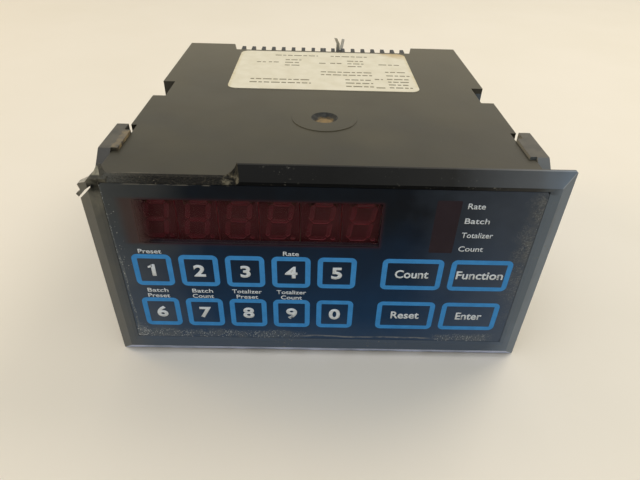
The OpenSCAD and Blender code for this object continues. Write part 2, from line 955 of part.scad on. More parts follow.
// A long board with a tongue under its terminal blocks
module long_board() {
    difference() {
        union() {
            span([-board_w / 2, board_w / 2], [board_y, rear_front - slack], [inner_face, board_z]);
            span([-block_l, block_l], [rear_front - over, block_y + block_depth], [inner_face, board_z]);
        }
        both_sides()
            for (i = [0:terminal_ways - 1])
                translate([(i + 0.5) * terminal_pitch, block_y + screw_y, inner_face - over])
                    cylinder(d = pin_d + hole_gap, h = board_t + 2 * over);
    }
}

module logic_board() {
    color("#2f6b3c")
        long_board();
}

module power_board() {
    color("#2f6b3c")
        mirror([0, 0, 1])
            long_board();
}

// A chip in two rows of legs, centred on a point of the logic board's upper face
module chip(at, length, row) {
    leg_w = 0.6;
    leg_t = 0.4;
    lift = 0.6;
    mark_d = 3;
    legs = floor(length / leg_pitch);
    middle = (lift + chip_h) / 2;
    body_w = row - 2.5 * leg_w;
    translate([at[0], at[1], board_z]) {
        difference() {
            span([-body_w / 2, body_w / 2], [-length / 2, length / 2], [lift, chip_h]);
            translate([0, -length / 2, chip_h - lift])
                cylinder(d = mark_d, h = lift + over);
        }
        both_sides()
            for (i = [0:legs - 1])
                translate([0, (i - (legs - 1) / 2) * leg_pitch, 0]) {
                    span([row / 2 - leg_t, row / 2], [-leg_w / 2, leg_w / 2], [0, middle]);
                    span([body_w / 2 - leg_t, row / 2], [-leg_w / 2, leg_w / 2], [middle - leg_t, middle]);
                }
    }
}

module processor_chip() {
    color("#1d1d1f")
        chip(processor_at, processor_l, wide_row);
}

module memory_chip() {
    color("#1d1d1f")
        chip(memory_at, memory_l, wide_row);
}

module driver_chip_1() {
    color("#1d1d1f")
        chip(driver_1_at, driver_l, narrow_row);
}

module driver_chip_2() {
    color("#1d1d1f")
        chip(driver_2_at, driver_l, narrow_row);
}

// A flat can with round ends that lies on the logic board
module clock_crystal() {
    color("#c4c7c9")
        translate(crystal_at)
            top_extrude([board_z, board_z + crystal_size[2]])
                round_rect(crystal_size[0], crystal_size[1], 0.48 * crystal_size[0]);
}

// Places a piece on the inner face of the power board
module on_power_board(at) {
    translate([at[0], at[1], -inner_face])
        children();
}

// A stack of laminations with two windows, standing across the housing
module transformer_core() {
    color("#5b5d60")
        on_power_board(core_at)
            front_extrude([-core_stack / 2, core_stack / 2])
                difference() {
                    translate([-core_w / 2, 0])
                        square([core_w, core_h]);
                    for (x = [-1, 1])
                        translate([x * (core_leg + core_window) / 2 - core_window / 2, yoke])
                            square([core_window, core_h - 2 * yoke]);
                }
}

// The bobbin's flanges and the coil between them, round the middle leg
module transformer_winding() {
    fit = 0.1;
    flange_t = 1;
    coil_in = 0.8;
    reach_x = core_leg / 2 + core_window - fit;
    reach_y = core_stack / 2 + core_window - fit;
    low = yoke + fit;
    high = core_h - yoke - fit;
    color("#c9b26a")
        on_power_board(core_at)
            difference() {
                union() {
                    top_extrude([low, high])
                        round_rect(2 * (reach_x - coil_in), 2 * (reach_y - coil_in), 2);
                    for (z = [low, high - flange_t])
                        top_extrude([z, z + flange_t])
                            square([2 * reach_x, 2 * reach_y], center = true);
                }
                span([-core_leg / 2 - fit, core_leg / 2 + fit], [-core_stack / 2 - fit, core_stack / 2 + fit],
                    [low - over, high + over]);
            }
}

// A relay's cover on its base, with the vent nib on top
module relay() {
    base_h = 2;
    nib_d = 1.6;
    top_extrude([0, base_h])
        square(relay_plan, center = true);
    top_extrude([base_h, relay_h])
        round_rect(relay_plan[0] - 2 * cover_inset, relay_plan[1] - 2 * cover_inset, over);
    translate([0, relay_plan[1] / 3, relay_h])
        cylinder(d = nib_d, h = nib_d / 2);
}

module relay_1() {
    color("#d8d5cc")
        on_power_board(relay_1_at)
            relay();
}

module relay_2() {
    color("#d8d5cc")
        on_power_board(relay_2_at)
            relay();
}

// A can with a rolled groove near its foot and a bevelled top
module capacitor() {
    r = capacitor_d / 2;
    bevel = 0.8;
    groove = 0.6;
    groove_z = 3;
    rotate_extrude()
        polygon([
            [0, 0], [r, 0], [r, groove_z - groove], [r - groove, groove_z], [r, groove_z + groove],
            [r, capacitor_h - bevel], [r - bevel, capacitor_h], [0, capacitor_h]
        ]);
}

module capacitor_1() {
    color("#24303f")
        on_power_board(capacitor_1_at)
            capacitor();
}

module capacitor_2() {
    color("#24303f")
        on_power_board(capacitor_2_at)
            capacitor();
}

// A finned plate that stands on the power board
module heat_sink() {
    fins = 7;
    top = [0, sink_h];
    depth = sink_base + sink_reach;
    color("#9ea2a5")
        on_power_board(sink_at)
            difference() {
                union() {
                    span([-sink_w / 2, sink_w / 2], [0, sink_base], top);
                    for (i = [0:fins - 1])
                        translate([(i / (fins - 1) - 0.5) * (sink_w - sink_fin_t), 0, 0])
                            span([-sink_fin_t / 2, sink_fin_t / 2], [sink_base - slack, depth], top);
                }
                rod([0, -over, tab_hole_z], sink_screw_d + 2 * slack, sink_base + over);
            }
}

// A power device with a metal tab bolted to the heat sink and three legs to the board
module regulator() {
    leg_w = 0.8;
    leg_t = 0.6;
    leg_y = (tab_t - regulator_t) / 2;
    width = [-regulator_w / 2, regulator_w / 2];
    color("#2a2a2c")
        on_power_board(sink_at)
            difference() {
                union() {
                    span(width, [-tab_t, 0], [regulator_body[0], tab_top]);
                    span(width, [-regulator_t, -tab_t / 2], regulator_body);
                    for (x = [-leg_pitch, 0, leg_pitch])
                        translate([x, leg_y, 0])
                            span([-leg_w / 2, leg_w / 2], [-leg_t, 0], [0, regulator_body[0] + over]);
                }
                rod([0, -over - tab_t, tab_hole_z], sink_screw_d + hole_gap, tab_t + 2 * over);
            }
}

module regulator_screw() {
    color("#b9bcbe")
        on_power_board(sink_at)
            translate([0, -tab_t, tab_hole_z])
                mirror([0, 1, 0])
                    slotted_screw([0, 0, 0], sink_screw_d, tab_t + sink_base - 2 * slack, rear_head_h);
}

// The panel that closes the sleeve in front of the terminal blocks
module rear_panel() {
    hole = rear_screw_d + hole_gap;
    color("#2e2e2c")
        difference() {
            front_extrude([rear_front, rear_back])
                square([2 * (in_x - rear_gap), 2 * (in_z - rear_gap)], center = true);
            both_levels() {
                span([-block_l - tongue_gap, block_l + tongue_gap], [rear_front - over, rear_back + over],
                    [inner_face - tongue_gap, board_z + tongue_gap]);
                both_sides()
                    rod([post_x, rear_front - over, post_z], hole, rear_panel_t + 2 * over);
            }
        }
}

module rear_screws() {
    length = rear_panel_t + post_hole - 2 * slack;
    color("#b9bcbe")
        for (x = [-post_x, post_x], z = [-post_z, post_z])
            slotted_screw([x, rear_back, z], rear_screw_d, length, rear_head_h);
}

// Turns a block built for the upper right into its own quarter
module to_quarter(b) {
    mirror([b[1] < 0 ? 1 : 0, 0, 0])
        mirror([0, 0, b[2] < 0 ? 1 : 0])
            translate([slack, block_y, board_z])
                children();
}

// Places a piece at each terminal of a block
module each_terminal() {
    for (i = [0:terminal_ways - 1])
        translate([(i + 0.5) * terminal_pitch - slack, 0, 0])
            children();
}

// Side view of a barrier fin, which rises through the bay
function fin_section(rise) = [
    [0, 0], [block_depth, 0], [block_depth, rise], [high_fin_y, rise], [high_fin_y, low_fin_h], [0, low_fin_h]
];

// A block with a deck, barrier fins, screw wells and wire entries
module terminal_block(b) {
    outer = block_l - 2 * slack;
    color("#23262a")
        to_quarter(b)
            difference() {
                union() {
                    span([0, outer], [0, block_depth], [0, deck_h]);
                    side_extrude([0, 0.75 * fin_t])
                        polygon(fin_section(high_fin_h));
                    for (i = [1:terminal_ways - 1])
                        translate([i * terminal_pitch - slack, 0, 0])
                            side_extrude([-fin_t / 2, fin_t / 2])
                                polygon(fin_section(high_fin_h));
                    side_extrude([outer - fin_t / 2, outer])
                        polygon(fin_section(low_fin_h));
                }
                each_terminal() {
                    span([-wire_entry / 2, wire_entry / 2], [cage_y - slack, block_depth + over],
                        [entry_z, entry_z + wire_entry]);
                    translate([0, screw_y, 0]) {
                        translate([0, 0, head_z])
                            cylinder(d = terminal_head_d + hole_gap / 2, h = high_fin_h);
                        translate([0, 0, entry_z])
                            cylinder(d = terminal_screw_d + hole_gap, h = head_z);
                        translate([0, 0, -over])
                            cylinder(d = pin_d + hole_gap, h = entry_z + 2 * over);
                    }
                }
            }
}

// A slotted screw that stands in its well
module terminal_screws(b) {
    slot = terminal_head_d / 5;
    reach = head_z - entry_z - wire_entry + 2 * cage_wall;
    color("#c9ccce")
        to_quarter(b)
            each_terminal()
                translate([0, screw_y, head_z])
                    difference() {
                        union() {
                            cylinder(d = terminal_head_d, h = head_h);
                            translate([0, 0, -reach])
                                cylinder(d = terminal_screw_d, h = reach + head_h / 2);
                        }
                        translate([0, 0, head_h])
                            cube([slot, 2 * terminal_head_d, head_h], center = true);
                    }
}

// A square cage that the screw draws up, with its solder pin through the board
module terminal_clamps(b) {
    outside = wire_entry - 2 * slack;
    inside = outside - 2 * cage_wall;
    color("#c8a24a")
        to_quarter(b)
            each_terminal() {
                translate([0, cage_y, entry_z + slack])
                    difference() {
                        span([-outside / 2, outside / 2], [0, cage_l], [0, outside]);
                        translate([-inside / 2, -over, cage_wall])
                            cube([inside, cage_l + 2 * over, inside]);
                        translate([0, cage_l / 2, outside - cage_wall - over / 2])
                            cylinder(d = terminal_screw_d + hole_gap / 2, h = cage_wall + over);
                    }
                translate([0, screw_y, -board_t - pin_below])
                    cylinder(d = pin_d, h = board_t + pin_below + entry_z + cage_wall / 2);
            }
}

// A bent fork left in one terminal: a tongue in the cage, a stem and two prongs, the right one bent back
module terminal_fork() {
    x = (fork_way + 0.5) * terminal_pitch;
    seat = board_z + entry_z + cage_wall + 2 * slack;
    back = block_y + block_depth + tongue_gap;
    shoulder = half_h - 2;
    crotch = half_h - 0.6;
    tip = half_h + fork_rise;
    stem = 1.2 * prong_w;
    knee = half_h + 0.45 * fork_rise;
    reach = tip - shoulder;
    color("#c3c6c8") {
        translate([x, 0, seat])
            span([-prong_w / 2, prong_w / 2], [block_y + cage_y + over, back + fork_t], [0, fork_t]);
        front_extrude([back, back + fork_t])
            polygon([
                [x - stem / 2, seat], [x + stem / 2, seat], [x + stem, shoulder], [x + stem, crotch],
                [x + stem / 2, crotch], [x + stem / 2, knee], [x - prong_w / 3, tip - prong_w / 8],
                [x - 1.35 * prong_w, tip], [x - prong_w / 2, knee], [x - stem / 2, shoulder]
            ]);
        translate([x, back, shoulder])
            rotate([-prong_lean, 0, 0])
                front_extrude([0, fork_t])
                    polygon([
                        [prong_w / 3, 0], [stem, 0], [1.8 * prong_w, reach / 3],
                        [2.3 * prong_w, 0.9 * reach], [1.35 * prong_w, 0.95 * reach],
                        [0.7 * prong_w, reach / 3]
                    ]);
    }
}

housing();
mounting_clip_left();
mounting_clip_right();
top_label();
overlay_film();
key_spacer();
key_circuit();
display_filter();
indicator_filter();
for (i = [0:DIGITS - 1])
    digit(i);
for (i = [0:LAMPS - 1])
    indicator_lamp(i);
display_board();
display_screws();
tail_socket();
upper_header();
lower_header();
logic_board();
processor_chip();
memory_chip();
driver_chip_1();
driver_chip_2();
clock_crystal();
power_board();
transformer_core();
transformer_winding();
relay_1();
relay_2();
capacitor_1();
capacitor_2();
regulator();
heat_sink();
regulator_screw();
rear_panel();
rear_screws();
for (b = BLOCKS)
    terminal_block(b);
for (b = BLOCKS)
    terminal_screws(b);
for (b = BLOCKS)
    terminal_clamps(b);
terminal_fork();
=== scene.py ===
"""Dresses the panel counter: its printed front, label and surfaces, with the floor, lamps and camera."""

import json
import logging
import math
from dataclasses import dataclass, field
from enum import Enum
from functools import cache

import bmesh
import bpy
from mathutils import Matrix, Vector


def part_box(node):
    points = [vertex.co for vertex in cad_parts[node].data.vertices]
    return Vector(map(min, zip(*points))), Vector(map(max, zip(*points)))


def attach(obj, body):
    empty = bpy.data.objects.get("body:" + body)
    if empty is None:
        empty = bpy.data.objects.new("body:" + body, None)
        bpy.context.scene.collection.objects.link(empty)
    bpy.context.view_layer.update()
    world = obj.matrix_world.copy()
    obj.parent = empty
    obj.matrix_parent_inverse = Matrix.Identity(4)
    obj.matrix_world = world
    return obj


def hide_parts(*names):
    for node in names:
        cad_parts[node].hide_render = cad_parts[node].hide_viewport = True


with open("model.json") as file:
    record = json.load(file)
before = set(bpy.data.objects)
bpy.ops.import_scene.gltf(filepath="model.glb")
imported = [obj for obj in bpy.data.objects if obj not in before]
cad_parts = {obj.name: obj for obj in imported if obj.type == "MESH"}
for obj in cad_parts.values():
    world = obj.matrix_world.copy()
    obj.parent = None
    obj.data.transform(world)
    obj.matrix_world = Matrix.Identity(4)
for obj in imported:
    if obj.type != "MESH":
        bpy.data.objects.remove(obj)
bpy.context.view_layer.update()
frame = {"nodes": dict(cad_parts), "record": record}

LOG = logging.getLogger("panel_counter")
BODY = "root"
MM = 0.001
Socket = bpy.types.NodeSocket
Point = tuple[float, float]

# The colour inputs and the colour output of a mix node, which share their names with others
MIX_A = 6
MIX_B = 7
MIX_OUT = 2

# Levels between which a soft pattern runs from nothing to full, and how finely it is drawn
CLOUD_LEVELS = (0.3, 0.7)
CLOUD_DETAIL = 4.0

# Levels of the mottling that every finish has, and how much rougher the mottled patches are
MOTTLE_LEVELS = (0.35, 0.75)
MOTTLE_ROUGHER = 0.08

# Shares of a speck's size and of the filled cells at which the specks are full
SPECK_CORE = 0.6
SPECK_FULL = 0.8

# Past the ends of a normal's range, so that a stripe of normals has no soft edge there
FULL = 2.0

# Steps of a round corner and of a letter's curves, and samples of an edge that is rounded for the eye
CORNER_STEPS = 6
LETTER_STEPS = 4
EDGE_SAMPLES = 6

# A plain capital, which gives words their height
CAPITAL = "H"


class Slot(Enum):
    """The record's material slots."""

    HOUSING = "moulded_housing"
    CLIP = "clip_plastic"
    LABEL = "label_paper"
    FILM = "printed_film"
    SHEET = "membrane_sheet"
    FILTER = "red_filter"
    DIGIT = "digit_moulding"
    LAMP = "lamp_plastic"
    BOARD = "circuit_board"
    CONNECTOR = "connector_plastic"
    CHIP = "chip_plastic"
    STEEL = "plated_steel"
    CORE = "core_steel"
    COIL = "coil_wrap"
    RELAY = "relay_plastic"
    CAPACITOR = "capacitor_sleeve"
    SINK = "sink_aluminium"
    TERMINAL = "terminal_plastic"
    BRASS = "clamp_brass"
    TINNED = "tinned_metal"


def linear(colour: str) -> tuple[float, float, float, float]:
    """Turns an sRGB hex colour into linear light.

    Args:
        colour: The colour as #rrggbb.

    Returns:
        Red, green, blue and a full alpha, in linear light.
    """
    parts = [int(colour[i:i + 2], 16) / 255 for i in (1, 3, 5)]
    light = [c / 12.92 if c <= 0.04045 else ((c + 0.055) / 1.055) ** 2.4 for c in parts]
    return (*light, 1.0)


def add_node(tree: bpy.types.NodeTree, kind: str, inputs: dict | None = None,
             **settings: object) -> bpy.types.Node:
    """Adds a node with its settings and links.

    Args:
        tree: The node tree to add to.
        kind: The node's type name.
        inputs: Values or sockets for its inputs, by name or number.
        settings: The node's own properties.

    Returns:
        The node.
    """
    node = tree.nodes.new(kind)
    for name, value in settings.items():
        setattr(node, name, value)
    for key, value in (inputs or {}).items():
        if isinstance(value, Socket):
            tree.links.new(value, node.inputs[key])
        else:
            node.inputs[key].default_value = value
    return node


class Shader:
    """One material's node tree, with its patterns in millimetres and its coats laid one over another."""

    def __init__(self, name: str, colour: str, roughness: float, specular: float, alpha: float) -> None:
        """Starts a material with one Principled shader.

        Args:
            name: The material's name.
            colour: Its first colour, as sRGB hex.
            roughness: Its first roughness.
            specular: Its first level of reflection.
            alpha: How much it covers.
        """
        self.material = bpy.data.materials.new(name)
        self.material.use_nodes = True
        self.tree = self.material.node_tree
        self.tree.nodes.clear()
        self.surface = self.add("ShaderNodeBsdfPrincipled")
        self.add("ShaderNodeOutputMaterial", {"Surface": self.surface.outputs[0]})
        place = self.add("ShaderNodeTexCoord").outputs["Object"]
        self.mm = self.add("ShaderNodeVectorMath", {0: place, "Scale": 1 / MM}, operation="SCALE").outputs[0]
        self.x, self.y, self.z = self.add("ShaderNodeSeparateXYZ", {0: self.mm}).outputs
        self.normal: Socket | None = None
        self.colour: Socket | tuple = linear(colour)
        self.rough: Socket | float = roughness
        self.shine: Socket | float = specular
        self.cover: Socket | float = alpha

    def add(self, kind: str, inputs: dict | None = None, **settings: object) -> bpy.types.Node:
        """Adds a node to this material and returns it."""
        return add_node(self.tree, kind, inputs, **settings)

    def ramp(self, value: Socket, start: float, end: float, most: float = 1.0) -> Socket:
        """A mask that grows evenly between two values.

        Args:
            value: What is measured, such as a coordinate in millimetres.
            start: Where the mask is 0.
            end: Where it is fullest.
            most: Its share there.

        Returns:
            A mask from 0 to that share.
        """
        inputs = {"Value": value, "From Min": start, "From Max": end, "To Max": most}
        return self.add("ShaderNodeMapRange", inputs).outputs[0]

    def cloud(self, size: float, low: float, high: float, seed: float = 0.0,
              stretch: tuple[float, float, float] = (1, 1, 1)) -> Socket:
        """Soft patches of a size.

        Args:
            size: Width of a patch in millimetres.
            low: Level of the pattern where the mask starts.
            high: Level where the mask is full.
            seed: Shifts the pattern, so that two of a size differ.
            stretch: Factors that draw the patches out along X, Y and Z.

        Returns:
            A mask from 0 to 1.
        """
        scale = [1 / factor for factor in stretch]
        drawn = {"Vector": self.mm, "Location": (seed, seed, seed), "Scale": scale}
        place = self.add("ShaderNodeMapping", drawn).outputs[0]
        noise = self.add("ShaderNodeTexNoise", {"Vector": place, "Scale": 1 / size, "Detail": CLOUD_DETAIL})
        return self.ramp(noise.outputs[0], low, high)

    def specks(self, spacing: float, size: float, share: float) -> Socket:
        """Scattered round specks.

        Args:
            spacing: Mean distance between cells in millimetres.
            size: Radius of the largest speck in millimetres.
            share: Share of the cells that hold a speck.

        Returns:
            A mask from 0 to 1.
        """
        cells = self.add("ShaderNodeTexVoronoi", {"Vector": self.mm, "Scale": 1 / spacing})
        reach = size / spacing
        return self.product(self.ramp(cells.outputs["Distance"], reach, SPECK_CORE * reach),
                            self.ramp(cells.outputs["Color"], 1 - share, 1 - SPECK_FULL * share))

    def band(self, value: Socket, low: float, high: float, soft: float) -> Socket:
        """A stripe between two values.

        Args:
            value: What is measured, such as a coordinate in millimetres.
            low: Where the stripe starts.
            high: Where it ends.
            soft: Width of its soft edges.

        Returns:
            A mask from 0 to 1.
        """
        rise = {"Value": value, "From Min": low - soft / 2, "From Max": low + soft / 2}
        fall = {"Value": value, "From Min": high + soft / 2, "From Max": high - soft / 2}
        return self.product(self.add("ShaderNodeMapRange", rise, interpolation_type="SMOOTHSTEP").outputs[0],
                            self.add("ShaderNodeMapRange", fall, interpolation_type="SMOOTHSTEP").outputs[0])

    def product(self, *masks: Socket | float) -> Socket:
        """Multiplies masks, so that all of them have to hold."""
        made = masks[0]
        for mask in masks[1:]:
            made = self.add("ShaderNodeMath", {0: made, 1: mask}, operation="MULTIPLY").outputs[0]
        return made

    def outside(self, mask: Socket) -> Socket:
        """Where a mask doesn't hold."""
        return self.add("ShaderNodeMath", {0: 1.0, 1: mask}, operation="SUBTRACT").outputs[0]

    def leaning(self, value: Socket, other: Socket, slope: float) -> Socket:
        """One coordinate plus a share of another, for stripes that run aslant."""
        return self.add("ShaderNodeMath", {0: other, 1: slope, 2: value}, operation="MULTIPLY_ADD").outputs[0]

    def wavy(self, value: Socket, size: float, reach: float) -> Socket:
        """Shifts a coordinate by a cloudy amount, so that an edge wanders.

        Args:
            value: The coordinate in millimetres.
            size: Width of a wave.
            reach: How far the edge wanders to each side.

        Returns:
            The shifted coordinate.
        """
        shift = {0: self.cloud(size, *CLOUD_LEVELS), 1: 2 * reach, 2: -reach}
        moved = self.add("ShaderNodeMath", shift, operation="MULTIPLY_ADD").outputs[0]
        return self.add("ShaderNodeMath", {0: value, 1: moved}).outputs[0]

    def facing(self) -> tuple[Socket, Socket, Socket]:
        """The parts of the surface's own normal along X, Y and Z."""
        normal = self.add("ShaderNodeNewGeometry").outputs["True Normal"]
        return tuple(self.add("ShaderNodeSeparateXYZ", {0: normal}).outputs)

    def coat(self, colour: str, *masks: Socket | float, roughness: float | None = None,
             specular: float | None = None) -> None:
        """Lays a colour, and a roughness and a level of reflection where they are given, over what is there.

        Args:
            colour: The coat's colour, as sRGB hex.
            masks: Where the coat lies, from 0 to 1, as far as all of them hold.
            roughness: The coat's roughness.
            specular: The coat's level of reflection.
        """
        share = self.product(*masks)
        tint = {0: share, MIX_A: self.colour, MIX_B: linear(colour)}
        self.colour = self.add("ShaderNodeMix", tint, data_type="RGBA").outputs[MIX_OUT]
        if roughness is not None:
            gloss = {"Value": share, "To Min": self.rough, "To Max": roughness}
            self.rough = self.add("ShaderNodeMapRange", gloss).outputs[0]
        if specular is not None:
            level = {"Value": share, "To Min": self.shine, "To Max": specular}
            self.shine = self.add("ShaderNodeMapRange", level).outputs[0]

    def relief(self, height: Socket, depth: float) -> None:
        """Raises the surface where a mask is 1.

        Args:
            height: The mask.
            depth: Its height in millimetres.
        """
        inputs = {"Height": height, "Distance": depth * MM}
        if self.normal is not None:
            inputs["Normal"] = self.normal
        self.normal = self.add("ShaderNodeBump", inputs).outputs[0]

    def rounded(self, radius: float) -> None:
        """Rounds the edges for the eye.

        Args:
            radius: The rounding in millimetres.
        """
        self.normal = self.add("ShaderNodeBevel", {"Radius": radius * MM}, samples=EDGE_SAMPLES).outputs[0]

    def close(self) -> bpy.types.Material:
        """Links the coats to the shader and returns the material."""
        for name, value in (("Base Color", self.colour), ("Roughness", self.rough), ("Normal", self.normal),
                            ("Specular IOR Level", self.shine), ("Alpha", self.cover)):
            if isinstance(value, Socket):
                self.tree.links.new(value, self.surface.inputs[name])
            elif value is not None:
                self.surface.inputs[name].default_value = value
        return self.material


@dataclass(frozen=True)
class Finish:
    """A finish with mottled colour and fine relief."""

    name: str
    colour: str
    mottle: str
    roughness: float
    metallic: float = 0.0
    ior: float = 1.5
    specular: float = 0.5
    alpha: float = 1.0
    mottle_mm: float = 6.0
    grain_mm: float = 0.5
    relief_mm: float = 0.01
    edge_mm: float = 0.0

    @cache
    def make(self) -> bpy.types.Material:
        """Builds the material once, with what only this finish has, and returns it."""
        shader = Shader(self.name, self.colour, self.roughness, self.specular, self.alpha)
        if self.edge_mm:
            shader.rounded(self.edge_mm)
        patches = shader.cloud(self.mottle_mm, *MOTTLE_LEVELS)
        shader.coat(self.mottle, patches, roughness=min(1.0, self.roughness + MOTTLE_ROUGHER))
        if self.relief_mm:
            shader.relief(shader.cloud(self.grain_mm, *CLOUD_LEVELS), self.relief_mm)
        self.detail(shader)
        shader.surface.inputs["Metallic"].default_value = self.metallic
        shader.surface.inputs["IOR"].default_value = self.ior
        return shader.close()

    def detail(self, shader: Shader) -> None:
        """Adds what only this finish has: nothing on a plain one."""


@dataclass(frozen=True)
class HousingPlastic(Finish):
    """Satin black plastic: dusty on top with a painted sheen, nicked on the bezel with painted light and
    shade, raw at the break, brown in the gate dish, with painted light and shade round the gate.
    """

    top_facing: Point = (0.8, FULL)
    sheen_y: Point = (15.0, 150.0)
    whitened_x: Point = (-64.0, -47.0)
    whitened_y: Point = (-0.3, 0.6)
    bezel_y: Point = (-6.0, -0.3)
    bezel_top: Point = (31.0, 45.0)
    bevel_facing: Point = (0.2, FULL)
    rim_facing: Point = (-FULL, -0.9)
    under_facing: Point = (-FULL, -0.45)
    shade_x: Point = (66.0, 2.0)
    sheen_bevel_x: Point = (38.0, 64.0)
    blue_z: Point = (28.0, -42.0)
    right_x: Point = (62.0, 72.0)
    left_x: Point = (-62.0, -72.0)
    rim_shade_x: Point = (72.0, 40.0)
    lit_rim_x: Point = (66.0, 80.0)
    lit_rim_z: Point = (-60.0, 33.2)
    lit_rim_rise: Point = (-30.0, -14.0)
    nicked_x: Point = (57.0, 71.0)
    mitre: Point = (34.6, 35.0)
    mitre_highlight_x: Point = (70.2, 76.0)
    corner_x: Point = (-80.0, -63.0)
    corner_z: Point = (24.0, 45.0)
    tip_x: Point = (-69.2, -65.5)
    tip_z: Point = (36.4, 41.0)
    steep_facing: Point = (-0.8, 0.8)
    break_x: Point = (-77.5, -26.2)
    break_y: Point = (-5.0, -0.05)
    break_z: Point = (33.75, 45.0)
    break_lean: float = 0.3
    pale_x: Point = (-48.0, -71.0)
    tear_x: Point = (-30.5, -24.0)
    tear_foot: Point = (34.3, 36.2)
    crack_x: Point = (-77.5, -67.0)
    crack_z: Point = (27.5, 34.5)
    gate: Point = (0.0, 44.8)
    pad_rim: Point = (11.0, 13.0)
    pad_z: Point = (35.0, 40.0)
    step_facing: Point = (-0.5, 0.8)
    dish_r: Point = (-1.0, 6.1)
    wall_facing: Point = (0.5, 0.93)
    residue_r: Point = (-1.0, 3.2)
    residue_z: Point = (30.0, 34.5)

    def detail(self, shader: Shader) -> None:
        """Lays dust, wear, the raw break and the gate's residue over the plastic, with painted light, shade,
        sheen and reflection.

        Args:
            shader: The material to work on.
        """
        self.dust(shader)
        self.bezel(shader)
        self.wear(shader)
        self.broken(shader)
        self.residue(shader)

    def dust(self, shader: Shader) -> None:
        """Warm dust on the top, a painted sheen that grows towards the rear, and a whitened line behind the
        break.

        Args:
            shader: The material to work on.
        """
        top = shader.band(shader.facing()[2], *self.top_facing, 0.2)
        rearward = shader.ramp(shader.wavy(shader.y, 25, 10), *self.sheen_y, 0.75)
        shader.coat("#423e2c", top, shader.cloud(22, 0.3, 0.8), 0.6, roughness=0.5)
        # Painted sheen: the top is painted paler towards the rear, where light glances off it
        shader.coat("#5e5947", top, rearward, roughness=0.5)
        shader.coat("#8d8778", top, shader.specks(4.5, 0.28, 0.16), roughness=0.8)
        line = shader.product(top, shader.band(shader.wavy(shader.y, 4, 0.3), *self.whitened_y, 0.4),
                              shader.band(shader.x, *self.whitened_x, 4))
        shader.coat("#6a665b", line, shader.cloud(1.2, 0.4, 0.6, stretch=(4, 1, 1)), 0.6, roughness=0.8)

    def bezel(self, shader: Shader) -> None:
        """A cooler bezel, greyer at the left end and bluer below, with painted shade, light, sheen and a
        painted reflection.

        Args:
            shader: The material to work on.
        """
        _, along, upward = shader.facing()
        front = shader.band(shader.y, *self.bezel_y, 0.2)
        above = shader.product(front, shader.band(shader.z, *self.bezel_top, 3))
        bevel = shader.product(above, shader.band(upward, *self.bevel_facing, 0.2))
        rim = shader.band(along, *self.rim_facing, 0.06)
        under = shader.band(upward, *self.under_facing, 0.1)
        side = shader.wavy(shader.x, 9, 2)
        shaded = shader.ramp(shader.wavy(shader.x, 12, 4), *self.shade_x)
        shader.coat("#16191c", front, 0.9)
        # Painted shade: the top bevel is darkened towards the left
        shader.coat("#08090a", bevel, shaded, 0.9, roughness=0.5, specular=0.2)
        # Painted sheen: the top bevel is painted grey towards the right
        shader.coat("#5a6067", bevel, shader.ramp(side, *self.sheen_bevel_x, 0.85), roughness=0.5)
        shader.coat("#41536a", front, shader.ramp(shader.z, *self.blue_z, 0.9))
        # Painted light: the bezel is painted paler towards its right end
        shader.coat("#697889", front, shader.ramp(side, *self.right_x, 0.84), roughness=0.5)
        shader.coat("#56564f", front, shader.ramp(side, *self.left_x, 0.7), roughness=0.5)
        # Painted reflection: the downward faces are painted pale blue, as the floor reflected in them
        shader.coat("#c3cef0", front, under, shader.cloud(9, 0.1, 0.6), roughness=0.5)
        # Painted shade: the rim's recess wall is darkened, so that its lit edge doesn't show
        shader.coat("#05070a", above, shader.ramp(side, *self.rim_shade_x), rim, roughness=0.5, specular=0.05)
        # Painted light: the rim is painted a paler blue-grey at its right end
        right = shader.product(shader.band(shader.x, *self.lit_rim_x, 3),
                               shader.ramp(shader.z, *self.lit_rim_rise),
                               shader.band(shader.z, *self.lit_rim_z, 0.4))
        shader.coat("#5f6a76", rim, right, 0.85, roughness=0.5, specular=0.2)

    def wear(self, shader: Shader) -> None:
        """Pale nicks on the bezel, a painted highlight along the mitre and grey dust on the cracked corner.

        Args:
            shader: The material to work on.
        """
        front = shader.band(shader.y, *self.bezel_y, 0.2)
        above = shader.product(front, shader.band(shader.z, *self.bezel_top, 3))
        shader.coat("#9a9a94", front, shader.specks(2.6, 0.2, 0.12), roughness=0.8)
        shader.coat("#77766f", front, shader.cloud(0.9, 0.62, 0.72), shader.cloud(9, 0.5, 0.7), roughness=0.8)
        end = shader.band(shader.x, *self.nicked_x, 2)
        shader.coat("#b4b7b8", above, end, shader.specks(1.3, 0.22, 0.16), roughness=0.8)
        # Painted highlight: a pale line along the mitre, as an edge catching the light
        rubbed = shader.product(shader.band(shader.leaning(shader.x, shader.z, -1), *self.mitre, 0.15),
                                shader.band(shader.x, *self.mitre_highlight_x, 0.6))
        shader.coat("#9ba0a6", above, rubbed, 0.7, roughness=0.6)
        corner = shader.product(front, shader.band(shader.wavy(shader.x, 4, 1), *self.corner_x, 3),
                                shader.band(shader.wavy(shader.z, 4, 1), *self.corner_z, 4))
        shader.coat("#66645a", corner, shader.cloud(2.5, 0.25, 0.65), 0.8, roughness=0.7)
        tip = shader.product(front, shader.band(shader.x, *self.tip_x, 0.5),
                             shader.band(shader.z, *self.tip_z, 0.5))
        shader.coat("#a5a18f", tip, shader.cloud(1.5, 0.2, 0.5), 0.9, roughness=0.8)

